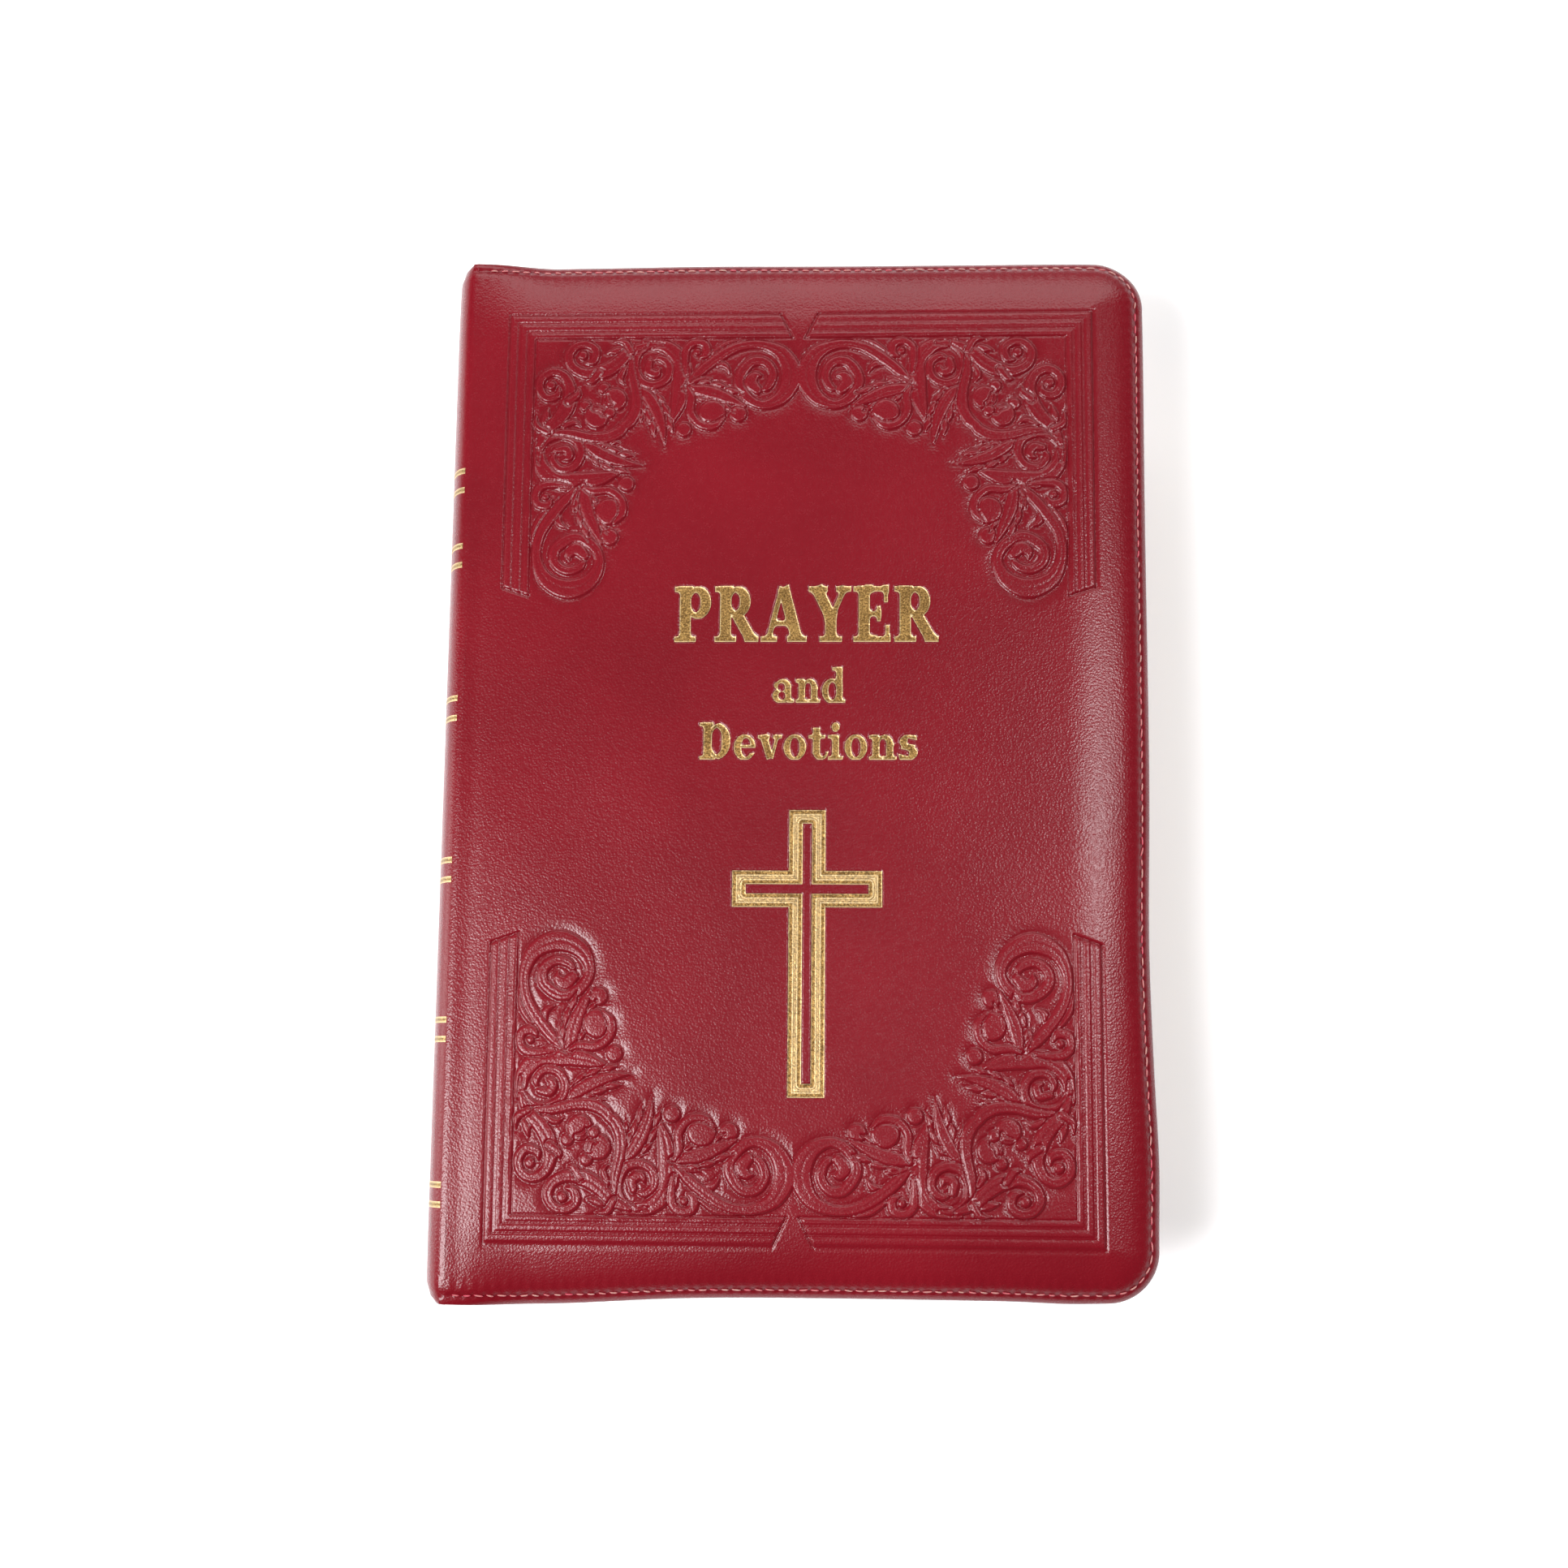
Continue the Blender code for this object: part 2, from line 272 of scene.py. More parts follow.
class Finish:
    """The nodes of a material, or of the world, and the shader that they feed."""

    def __init__(self, owner, shader="Principled BSDF", **sockets):
        owner.use_nodes = True
        self.owner = owner
        self.tree = owner.node_tree
        self.shader = self.tree.nodes[shader]
        self.set(**sockets)

    def set(self, **sockets):
        """Joins values to the shader's sockets and returns what the shader belongs to."""
        for name, value in sockets.items():
            self.join(self.shader.inputs[name.replace("_", " ")], value)
        return self.owner

    def join(self, socket, value):
        if isinstance(value, Value):
            self.tree.links.new(value.socket, socket)
        elif isinstance(value, tuple) and len(value) == 3 and socket.type == "RGBA":
            socket.default_value = (*value, 1.0)
        else:
            socket.default_value = value

    def node(self, kind, settings, sockets, output=0):
        """Adds a node, sets it up and returns one of its outputs. A ramp has two stops."""
        node = self.tree.nodes.new("ShaderNode" + kind)
        for name, value in settings.items():
            if name == "stops":
                for element, (place, colour) in zip(node.color_ramp.elements, value):
                    element.position = place
                    element.color = (*colour, 1.0)
            else:
                setattr(node, name, value)
        for key, value in sockets.items():
            self.join(node.inputs[key], value)
        return Value(self, node.outputs[output])

    def place(self):
        return self.node("TexCoord", {}, {}, "Object")

    def noise(self, size_mm, detail=2.0, where=None):
        return self.node("TexNoise", {}, {
            "Vector": where or self.place(), "Scale": 1 / (size_mm * MM), "Detail": detail})

    def cells(self, size_mm):
        return self.node("TexVoronoi", {}, {
            "Vector": self.place(), "Scale": 1 / (size_mm * MM)})

    def stripes(self, direction, scale, profile="SIN", waver=0.0):
        return self.node("TexWave", {"bands_direction": direction, "wave_profile": profile}, {
            "Vector": self.place(), "Scale": scale, "Distortion": waver})

    def painted(self, name):
        """A value that the piece's mesh carries at each point."""
        return self.node("Attribute", {"attribute_name": name}, {}, "Fac")

    def ramp(self, value, *stops):
        """Two stops of (place, shade), from one grey to the other."""
        greys = [(place, (shade, shade, shade)) for place, shade in stops]
        return self.node("ValToRGB", {"stops": greys}, {"Fac": value})

    def mix(self, share, first, second):
        """A colour between two others."""
        return self.node("Mix", {"data_type": "RGBA"}, {0: share, 6: first, 7: second}, 2)

    def bump(self, height, depth_mm, strength=1.0, under=None):
        sockets = {"Height": height, "Distance": depth_mm * MM, "Strength": strength}
        if under:
            sockets["Normal"] = under
        return self.node("Bump", {}, sockets)


def new_finish(name, **sockets):
    return Finish(bpy.data.materials.new(name), **sockets)


def leather_finish(name, deep, bright):
    """Fine-grained dyed leather: pebbled and cloudy, a little glossier where it is stamped, with painted
    shade that darkens its stamped lines, pressed ground and stitch channels.
    """
    finish = new_finish(name, IOR=1.45, Specular_IOR_Level=0.42)
    cloud = finish.noise(38, 3.0)
    speck = finish.noise(1.6, 3.0)
    crease = finish.noise(0.42)
    cut = finish.painted("cut")
    hide = finish.mix((cloud + speck * 0.16 - 0.08).clamped(), deep, bright)
    # Painted shade: where cut is high, the colour goes towards this darker red, standing in for the
    # shade in grooves and pressed ground.
    groove_shade = (deep[0] * 0.45, deep[1] * 0.25, deep[2] * 0.25)
    rough = 0.215 + speck * 0.05 + crease * 0.05 - cut * 0.03
    pores = finish.ramp(finish.cells(0.5), (0.0, 1.0), (0.75, 0.0))
    waves = finish.bump(finish.noise(7), 0.03, 0.7)
    return finish.set(
        Base_Color=finish.mix((cut * 0.22).clamped(), hide, groove_shade), Roughness=rough.clamped(),
        Normal=finish.bump(pores * 0.8 + crease * 0.55, 0.04, 1.0, waves))


def foil_finish(name):
    """Gold foil pressed into leather: the grain shows through, worn specks are duller, and its rims are
    lightened as a painted highlight.
    """
    finish = new_finish(name, Metallic=0.8)
    grit = finish.noise(0.35, 3.0)
    worn = (finish.noise(5.0) * 0.6 + grit * 2.6 - 1.30).clamped()
    gold = finish.mix(worn, (0.10, 0.048, 0.010), (0.47, 0.29, 0.09))
    # Painted highlight: along the foil's rims the colour goes towards pale gold, standing in for light
    # caught on the walls of the stamp.
    rim = (finish.painted("rim") * 0.6).clamped()
    return finish.set(
        Base_Color=finish.mix(rim, gold, (1.0, 0.80, 0.45)),
        Roughness=(0.30 + grit * 0.22).clamped(),
        Normal=finish.bump(grit + finish.cells(0.7) * 0.6, 0.11))


def thread_finish():
    """Twisted polyester sewing thread, pale rose, stained with dye near its holes."""
    finish = new_finish("edge thread", Sheen_Weight=0.2, Roughness=0.55)
    fibre = finish.noise(0.22, 3.0)
    pale = finish.mix(fibre, (0.31, 0.12, 0.10), (0.57, 0.34, 0.28))
    stain = finish.painted("stain").clamped()
    return finish.set(
        Base_Color=finish.mix(stain, pale, (0.50, 0.035, 0.07)),
        Normal=finish.bump(fibre, 0.05, 0.7))


def page_edge_finish():
    """The edges of a thousand thin leaves, gilded: fine lines that run with the pages."""
    finish = new_finish("gilt page edges", Metallic=0.75)
    along = finish.node("Mapping", {}, {"Vector": finish.place(), "Scale": (0.04, 0.04, 1.0)})
    leaf = finish.noise(0.16, 2.0, along)
    pack = finish.noise(1.3, 2.0, along)
    shade = (leaf * 0.7 + pack * 0.5 - 0.1).clamped()
    return finish.set(
        Base_Color=finish.mix(shade, (0.42, 0.25, 0.08), (0.92, 0.70, 0.36)),
        Roughness=(0.34 + leaf * 0.25).clamped(),
        Normal=finish.bump(leaf + pack * 0.6, 0.12, 0.8))


def printed_bars(finish):
    """Two columns of plain grey bars: how much ink there is at each place on a leaf."""
    across = finish.node("SeparateXYZ", {}, {"Vector": finish.place()}, "X") / MM
    up = finish.node("SeparateXYZ", {}, {"Vector": finish.place()}, "Y") / MM
    line = up / LINE_PITCH + LINES_BELOW
    spot = finish.node("CombineXYZ", {}, {"X": across / WORD_WIDTH, "Y": line, "Z": 0.0})
    corner = finish.node("VectorMath", {"operation": "FLOOR"}, {0: spot})
    word = finish.node("TexWhiteNoise", {}, {"Vector": corner})
    column = abs(abs(across - (HINGE_X + FORE_X) / 2) - COLUMN_MIDDLE) < COLUMN_HALF
    row = finish.node("Math", {"operation": "FRACT"}, {0: line}) < LINE_THICKNESS
    return column * (abs(up) < TEXT_HALF) * row * (0.25 + word * 0.35)


def paper_finish(name, shade, printed):
    """Thin cream paper with a faint mottle."""
    finish = new_finish(name, Roughness=0.82)
    colour = finish.mix(finish.noise(2.2, 4.0), tuple(part * 0.93 for part in shade), shade)
    if printed:
        colour = finish.mix(printed_bars(finish), colour, (0.16, 0.14, 0.12))
    return finish.set(Base_Color=colour, Normal=finish.bump(finish.noise(0.4, 3.0), 0.01, 0.5))


def linen_finish():
    """Plain open-weave binding cloth."""
    finish = new_finish("linen", Roughness=0.88)
    scale = 0.31 / (LINEN_THREAD * MM)
    weave = finish.stripes("Y", scale, waver=0.6) * finish.stripes("Z", scale, waver=0.6)
    return finish.set(
        Base_Color=finish.mix(weave, (0.42, 0.38, 0.31), (0.80, 0.75, 0.65)),
        Normal=finish.bump(weave, 0.08, 0.8))


def band_finish():
    """Head bands of red and cream silk wound in stripes."""
    finish = new_finish("head band silk", Sheen_Weight=0.3)
    stripe = finish.stripes("Z", 130.0, "SAW")
    choice = finish.ramp(stripe, (0.45, 0.0), (0.55, 1.0))
    return finish.set(
        Base_Color=finish.mix(choice, (0.42, 0.02, 0.03), (0.84, 0.76, 0.62)),
        Roughness=(0.42 + stripe * 0.15).clamped(), Normal=finish.bump(stripe, 0.1, 0.6))


def board_finish():
    """Grey pulp board."""
    finish = new_finish("grey board", Roughness=0.92)
    pulp = finish.noise(1.1, 4.0)
    return finish.set(
        Base_Color=finish.mix(pulp, (0.33, 0.30, 0.26), (0.50, 0.46, 0.40)),
        Normal=finish.bump(pulp, 0.04, 0.6))


def floor_finish():
    """A white sweep. It glows far out, where the lights do not reach."""
    finish = new_finish("table", Roughness=0.7, Base_Color=(0.93, 0.93, 0.935))
    far = finish.node("VectorMath", {"operation": "LENGTH"}, {0: finish.place()}, "Value")
    glow = finish.ramp(far / 3.0, (0.07, 0.19), (0.5, 0.85))
    return finish.set(Specular_IOR_Level=0.1, Emission_Color=glow, Emission_Strength=1.0)


# ---------------------------------------------------------------- mesh making


def make_mesh(name, points, faces, finishes, painted=None, slots=None):
    """A smooth mesh piece from points in millimetres and four-sided faces."""
    mesh = bpy.data.meshes.new(name)
    points = np.asarray(points, float).reshape(-1, 3)
    faces = np.asarray(faces, np.int32).reshape(-1, 4)
    mesh.vertices.add(len(points))
    mesh.vertices.foreach_set("co", (points * MM).astype(np.float32).ravel())
    mesh.loops.add(faces.size)
    mesh.loops.foreach_set("vertex_index", faces.ravel())
    mesh.polygons.add(len(faces))
    mesh.polygons.foreach_set("loop_start", np.arange(0, faces.size, 4, dtype=np.int32))
    if slots is not None:
        mesh.polygons.foreach_set("material_index", np.asarray(slots, np.int32))
    mesh.update(calc_edges=True)
    mesh.validate()
    mesh.shade_smooth()
    for key, values in (painted or {}).items():
        attribute = mesh.attributes.new(key, "FLOAT", "POINT")
        attribute.data.foreach_set("value", np.asarray(values, np.float32).ravel())
    for finish in finishes:
        mesh.materials.append(finish)
    piece = bpy.data.objects.new(name, mesh)
    bpy.context.scene.collection.objects.link(piece)
    return piece


def grid_faces(rows, columns, closed=False):
    """Faces of a grid of points, whose last column joins the first if it is closed."""
    index = np.arange(rows * columns).reshape(rows, columns)
    if closed:
        index = np.hstack([index, index[:, :1]])
    corners = [index[:-1, :-1], index[:-1, 1:], index[1:, 1:], index[1:, :-1]]
    return np.stack(corners, -1).reshape(-1, 4)


def smooth_step(value, low, high):
    """0 below one value and 1 above another, with a soft change between them."""
    share = np.clip((value - low) / (high - low), 0.0, 1.0)
    return share * share * (3 - 2 * share)


def hump(value, middle, width):
    """A bell of height 1 round its middle."""
    return np.exp(-(((value - middle) / width) ** 2))


def graded(start, end, step_at):
    """Places from start to end, whose spacing is step_at(place) scaled to fit."""
    places = [start]
    while places[-1] < end:
        places.append(places[-1] + step_at(places[-1]))
    places = np.array(places)
    return start + (places - start) * (end - start) / (places[-1] - start)


# ---------------------------------------------------------------- the stamped corner piece


class Stamp:
    """Height and line depth of a blind stamp over a square patch, painted stroke on stroke."""

    def __init__(self, span, step):
        self.step = step
        axis = np.arange(-2.0, span, step)
        self.low = axis[0]
        self.u, self.v = np.meshgrid(axis, axis, indexing="ij")
        self.height = np.zeros_like(self.u)
        self.cut = np.zeros_like(self.u)
        self.away = np.full(self.u.shape, 9.0)

    def window(self, points, reach):
        """The part of the patch that lies within reach of some points."""
        low = np.floor((points.min(0) - reach - self.low) / self.step).astype(int)
        high = np.ceil((points.max(0) + reach - self.low) / self.step).astype(int)
        low = np.clip(low, 0, self.u.shape[0] - 1)
        high = np.clip(high, 1, self.u.shape[0])
        return slice(low[0], high[0]), slice(low[1], high[1])

    def reach_to(self, line, widths, part):
        """How far each point of a window lies outside a stroke of varying half-width."""
        u, v = self.u[part], self.v[part]
        nearest = np.full(u.shape, 1e3)
        for start, end, wide, narrow in zip(line[:-1], line[1:], widths[:-1], widths[1:]):
            along = end - start
            share = (u - start[0]) * along[0] + (v - start[1]) * along[1]
            share = np.clip(share / max(along @ along, 1e-9), 0, 1)
            away = np.hypot(u - start[0] - share * along[0], v - start[1] - share * along[1])
            nearest = np.minimum(nearest, away - wide - share * (narrow - wide))
        return nearest

    def stroke(self, points, widths, rise=STROKE_RISE, vein=False):
        """Paints a raised stroke with a sharp outline over what is there."""
        line, wide = smooth_line(points, np.array(widths) * STROKE_FULLNESS)
        part = self.window(line, max(widths) + 3.5)
        outside = self.reach_to(line, wide, part)
        inner = 0.8 * smooth_step(-outside, 0.0, 0.42) + 0.2 * smooth_step(-outside, 0.0, 1.6)
        groove = hump(outside, 0.0, GROOVE_WIDTH)
        raised = np.where(outside < 0, rise * inner, self.height[part])
        self.height[part] = raised - GROOVE_DEPTH * groove
        # cut marks the outline groove, which the leather finish darkens with painted shade.
        self.cut[part] = np.maximum(np.where(outside < 0, 0.0, self.cut[part]), groove)
        self.away[part] = np.minimum(self.away[part], outside)
        if vein:
            middle = self.reach_to(line[2:-2], wide[2:-2] * 0.0, part)
            score = hump(middle, 0.0, VEIN_WIDTH) * (outside < 0)
            self.height[part] -= VEIN_DEPTH * score
            # The vein is marked in cut too, for painted shade.
            self.cut[part] = np.maximum(self.cut[part], 0.6 * score)

    def leaf(self, points, widths, lobes, rise=STROKE_RISE):
        """Paints a stroke whose sides break into curled lobes that point to its tip."""
        line, wide = smooth_line(points, widths)
        for number in range(lobes):
            place = int((0.16 + 0.62 * number / lobes) * (len(line) - 1))
            ahead = line[min(place + 3, len(line) - 1)] - line[place]
            ahead /= max(np.hypot(*ahead), 1e-6)
            for side in (1, -1):
                aside = np.array([-ahead[1], ahead[0]]) * side
                reach = wide[place] + 0.75
                root = line[place]
                knee = root + ahead * reach * 0.7 + aside * reach * 0.95
                tip = root + ahead * reach * 2.1 + aside * reach * 1.15
                self.stroke([root, knee, tip], [0.7 * reach, 0.42 * reach, 0.08], rise * 0.85)
        self.stroke(points, widths, rise, vein=True)

    def disc(self, centre, radius, rise=0.32):
        """Paints a round button."""
        u, v = centre
        self.stroke([(u - 0.01, v), (u, v), (u + 0.01, v)], [radius] * 3, rise)

    def sink_ground(self):
        """Presses the ground down beside the strokes, deepest where it is hemmed in, and marks it to be
        darkened with painted shade.
        """
        gap = np.maximum(self.away, 0.0)
        sunk = np.exp(-((gap / GROUND_REACH) ** 2)) * smooth_step(self.away, -0.05, 0.12)
        self.height -= GROUND_DEPTH * sunk
        # Painted shade: the sunk ground is marked in cut, so the leather finish darkens it.
        self.cut = np.maximum(self.cut, 0.7 * sunk)

    def sample(self, u, v):
        """Height and cut at places, between the patch's points."""
        i = np.clip((u - self.low) / self.step, 0, self.u.shape[0] - 1.001)
        j = np.clip((v - self.low) / self.step, 0, self.u.shape[1] - 1.001)
        i0, j0 = i.astype(int), j.astype(int)
        a, b = i - i0, j - j0
        found = []
        for field in (self.height, self.cut):
            near = field[i0, j0] * (1 - b) + field[i0, j0 + 1] * b
            far = field[i0 + 1, j0] * (1 - b) + field[i0 + 1, j0 + 1] * b
            found.append(near * (1 - a) + far * a)
        return found


def smooth_line(points, widths, steps=7):
    """A smooth line through a few points, with the half-width at each place."""
    data = np.column_stack([np.array(points, float), np.array(widths, float)])
    data = np.vstack([2 * data[0] - data[1], data, 2 * data[-1] - data[-2]])
    line = []
    for k in range(1, len(data) - 2):
        before, start, end, after = data[k - 1 : k + 3]
        for step in range(steps):
            t = step / steps
            bend = (2 * before - 5 * start + 4 * end - after) * t ** 2
            twist = (3 * start - before - 3 * end + after) * t ** 3
            line.append(0.5 * (2 * start + (end - before) * t + bend + twist))
    line.append(data[-2])
    line = np.array(line)
    return line[:, :2], np.maximum(line[:, 2], 0.05)


# The strokes of half a corner piece, in the order they are laid, each through rows of
# (u, v, half-width): u runs in from the frame's side line and v along it. The first word says
# how a stroke is laid, and a number there is a leaf with so many pairs of lobes.
STROKES = (
    # Broad arching leaf that carries the blade on the diagonal.
    ("veined", (6.9, 30.5, 0.9), (8.0, 35.6, 1.4), (11.5, 38.3, 1.9), (16, 38.9, 1.8),
     (21, 38.2, 1.4), (25.6, 36.6, 0.5)),
    # Fingers and blade of the outermost leaf.
    ("plain", (17.5, 28.5, 0.9), (21.5, 29.6, 1.1), (25.6, 29.9, 0.1)),
    ("plain", (17.5, 29.5, 0.9), (22.0, 31.4, 1.3), (27.3, 32.4, 0.1)),
    (4, (16.0, 28.6, 0.7), (20.5, 32.2, 1.2), (25.6, 34.4, 1.0), (30.9, 35.3, 0.12)),
    # Stem and great end scroll.
    ("plain", (12.6, 43.0, 0.5), (11.6, 45.6, 0.8), (12.2, 48.4, 0.7), (14.0, 49.6, 0.25)),
    ("plain", (9.6, 45.6, 0.7), (7.4, 48.6, 0.8), (6.6, 51.6, 0.6), (6.3, 54.6, 0.1)),
    ("veined", (17.6, 39.6, 0.5), (13.8, 42.8, 1.0), (10.4, 46.9, 1.1), (7.9, 51.4, 1.0),
     (7.4, 56.5, 1.0), (9.6, 61.3, 1.5), (14.6, 63.4, 1.9), (19.4, 61.4, 1.5), (21.4, 57.2, 1.0),
     (19.6, 53.4, 1.1), (15.4, 51.9, 1.2), (11.6, 54.2, 1.05), (11.5, 57.4, 1.0),
     (14.2, 59.2, 0.95), (17.2, 58.2, 0.8), (18.0, 55.9, 0.3)),
    ("plain", (17.9, 55.7, 1.0), (16.2, 54.3, 1.25), (14.6, 55.2, 0.9), (14.6, 56.9, 0.2)),
    # Acanthus lobes that fill the outer curve of the scroll.
    ("disc", (23.4, 51.6, 1.7)),
    ("plain", (17.0, 41.0, 0.9), (15.9, 43.4, 0.9), (15.1, 45.8, 0.1)),
    ("plain", (17.6, 41.0, 0.9), (17.4, 45.0, 1.2), (16.2, 48.2, 0.15)),
    (3, (17.6, 40.8, 0.9), (18.3, 45.0, 1.3), (19.8, 49.0, 1.1), (21.6, 53.0, 0.4)),
    ("disc", (23.3, 45.8, 2.6)),
    ("plain", (24.3, 48.6, 0.3), (26.2, 46.3, 0.8), (25.9, 43.2, 0.85), (23.2, 41.0, 0.85),
     (19.6, 41.1, 0.8), (17.4, 40.2, 0.4)),
    ("disc", (27.0, 39.5, 1.55)),
    # Volute beside the frame, above the arching leaf.
    ("plain", (14.2, 39.9, 0.4), (11.0, 39.6, 0.75), (8.2, 39.9, 0.85), (6.8, 41.7, 0.85),
     (7.3, 43.9, 0.9), (9.4, 44.3, 0.9), (10.4, 42.9, 0.3)),
    ("disc", (9.0, 42.3, 0.8)),
    # Middle scroll.
    ("veined", (7.3, 34.6, 0.3), (7.4, 31.4, 0.7), (9.4, 28.9, 0.9), (12.6, 28.2, 0.95),
     (15.7, 29.7, 0.9), (16.7, 32.7, 0.85), (15.2, 35.5, 0.85), (12.2, 36.0, 0.8),
     (10.4, 34.0, 0.7), (11.0, 31.9, 0.2)),
    ("plain", (11.2, 31.6, 0.7), (13.4, 31.4, 0.9), (14.1, 33.2, 0.8), (12.6, 34.0, 0.2)),
    # Hood over the palmette, and the palmette's lobes.
    ("veined", (9.8, 27.6, 0.5), (14.0, 27.7, 0.9), (18.4, 28.7, 1.0), (22.2, 28.8, 1.15),
     (25.0, 27.6, 1.15), (26.3, 26.1, 1.0)),
    ("plain", (12.6, 26.0, 0.7), (15.0, 25.2, 0.6), (16.6, 26.2, 0.15)),
    ("disc", (17.4, 21.5, 1.2)),
    ("disc", (20.0, 24.0, 2.3)),
    ("plain", (19.2, 22.2, 0.35), (20.8, 22.6, 0.5), (21.4, 23.8, 0.2)),
    ("disc", (23.0, 23.0, 1.1)),
    # Leafy stem that ends in the corner volute.
    ("plain", (9.0, 27.0, 0.9), (8.7, 24.4, 0.9), (9.2, 21.6, 0.1)),
    ("veined", (7.2, 30.8, 0.6), (8.9, 27.2, 1.1), (11.6, 24.4, 1.4), (13.4, 21.4, 1.45),
     (14.0, 17.8, 1.15), (12.6, 14.6, 1.0), (9.9, 13.5, 0.95), (7.6, 14.9, 0.9), (7.1, 17.4, 0.9),
     (8.6, 19.5, 0.9), (11.0, 19.0, 0.8), (11.4, 17.2, 0.25)),
    ("disc", (9.6, 16.6, 1.0)),
    ("plain", (13.6, 20.4, 0.8), (15.6, 18.9, 0.7), (15.9, 17.3, 0.1)),
    ("plain", (9.0, 27.5, 0.7), (6.6, 26.0, 0.7), (6.4, 23.4, 0.1)),
)


def corner_stamp():
    """Half of the leafy corner piece. The other half is its mirror image across the diagonal."""
    stamp = Stamp(PATCH_SPAN, PATCH_STEP)
    for kind, *rows in STROKES:
        points = [row[:2] for row in rows]
        widths = [row[2] for row in rows]
        if kind == "disc":
            stamp.disc(points[0], widths[0])
        elif kind in ("plain", "veined"):
            stamp.stroke(points, widths, vein=kind == "veined")
        else:
            stamp.leaf(points, widths, kind)
    stamp.sink_ground()
    return stamp


def moulding(t, end):
    """Three raised bands between incised lines: t in from the outer one, end short of the slant."""
    past = MOULDING_WIDTH
    inside = smooth_step(end, -0.15, 0.15) * smooth_step(t, -0.1, 0.15)
    inside = inside * (1 - smooth_step(t, past - 0.15, past + 0.15))
    bands = BAND_HEIGHT * np.abs(np.sin(np.pi * t / BAND_PITCH)) ** 0.4
    lines = sum(depth * hump(t, place, width) for depth, place, width in MOULDING_LINES)
    reach = smooth_step(end, -0.25, 0.1)
    ends = 0.42 * hump(end, 0.0, 0.28) * smooth_step(t, -0.3, 0.0)
    ends = ends * (1 - smooth_step(t, past, past + 0.3))
    # The incised lines and slanted ends go into cut, which the leather finish darkens with painted
    # shade.
    cut = np.maximum(np.clip(lines * 2.2, 0, 1) * reach, ends * 2.2)
    return inside * bands - lines * reach - ends, np.clip(cut, 0, 1)


def stamped_corners(stamp, x, y):
    """Height and cut of the four corner pieces on the front cover."""
    u = STAMP_HALF[0] - np.abs(x - STAMP_MIDDLE[0])
    v = STAMP_HALF[1] - np.abs(y - STAMP_MIDDLE[1])
    near, far = np.minimum(u, v), np.maximum(u, v)
    height, cut = stamp.sample(near, far)
    within = (far < PATCH_SPAN - 1.0) & (near > -1.5)
    level = v < u
    end = np.where(level, LEVEL_ARM + 0.47 * near, UPRIGHT_ARM + 0.35 * near) - far
    frame_height, frame_cut = moulding(near, end)
    rise = (height + frame_height) * within
    return rise, np.maximum(cut, frame_cut) * within


# ---------------------------------------------------------------- gold stamping


def box_away(x, y, left, low, right, high):
    """Distance outside a rectangle, below zero inside it."""
    across = np.abs(x - (left + right) / 2) - (right - left) / 2
    up = np.abs(y - (low + high) / 2) - (high - low) / 2
    outside = np.hypot(np.maximum(across, 0), np.maximum(up, 0))
    return outside + np.minimum(np.maximum(across, up), 0)


def oval_away(x, y, middle_x, middle_y, half_width, half_height):
    """Roughly the distance outside an oval."""
    a = (x - middle_x) / half_width
    b = (y - middle_y) / half_height
    size = np.hypot(a, b)
    steep = np.hypot(a / half_width, b / half_height) / np.maximum(size, 1e-6)
    return (size - 1) / np.maximum(steep, 1e-6)


def bar_away(x, y, x0, y0, x1, y1, width):
    """Distance outside a slanted bar with square ends."""
    length = math.hypot(x1 - x0, y1 - y0)
    ux, uy = (x1 - x0) / length, (y1 - y0) / length
    along = (x - x0) * ux + (y - y0) * uy
    aside = (x - x0) * uy - (y - y0) * ux
    return box_away(along, aside, 0, -width / 2, length, width / 2)


def soft_union(first, second, softness):
    """Joins two shapes with a small bracket between them."""
    share = np.clip(0.5 + 0.5 * (second - first) / softness, 0, 1)
    return second * (1 - share) + first * share - softness * share * (1 - share)


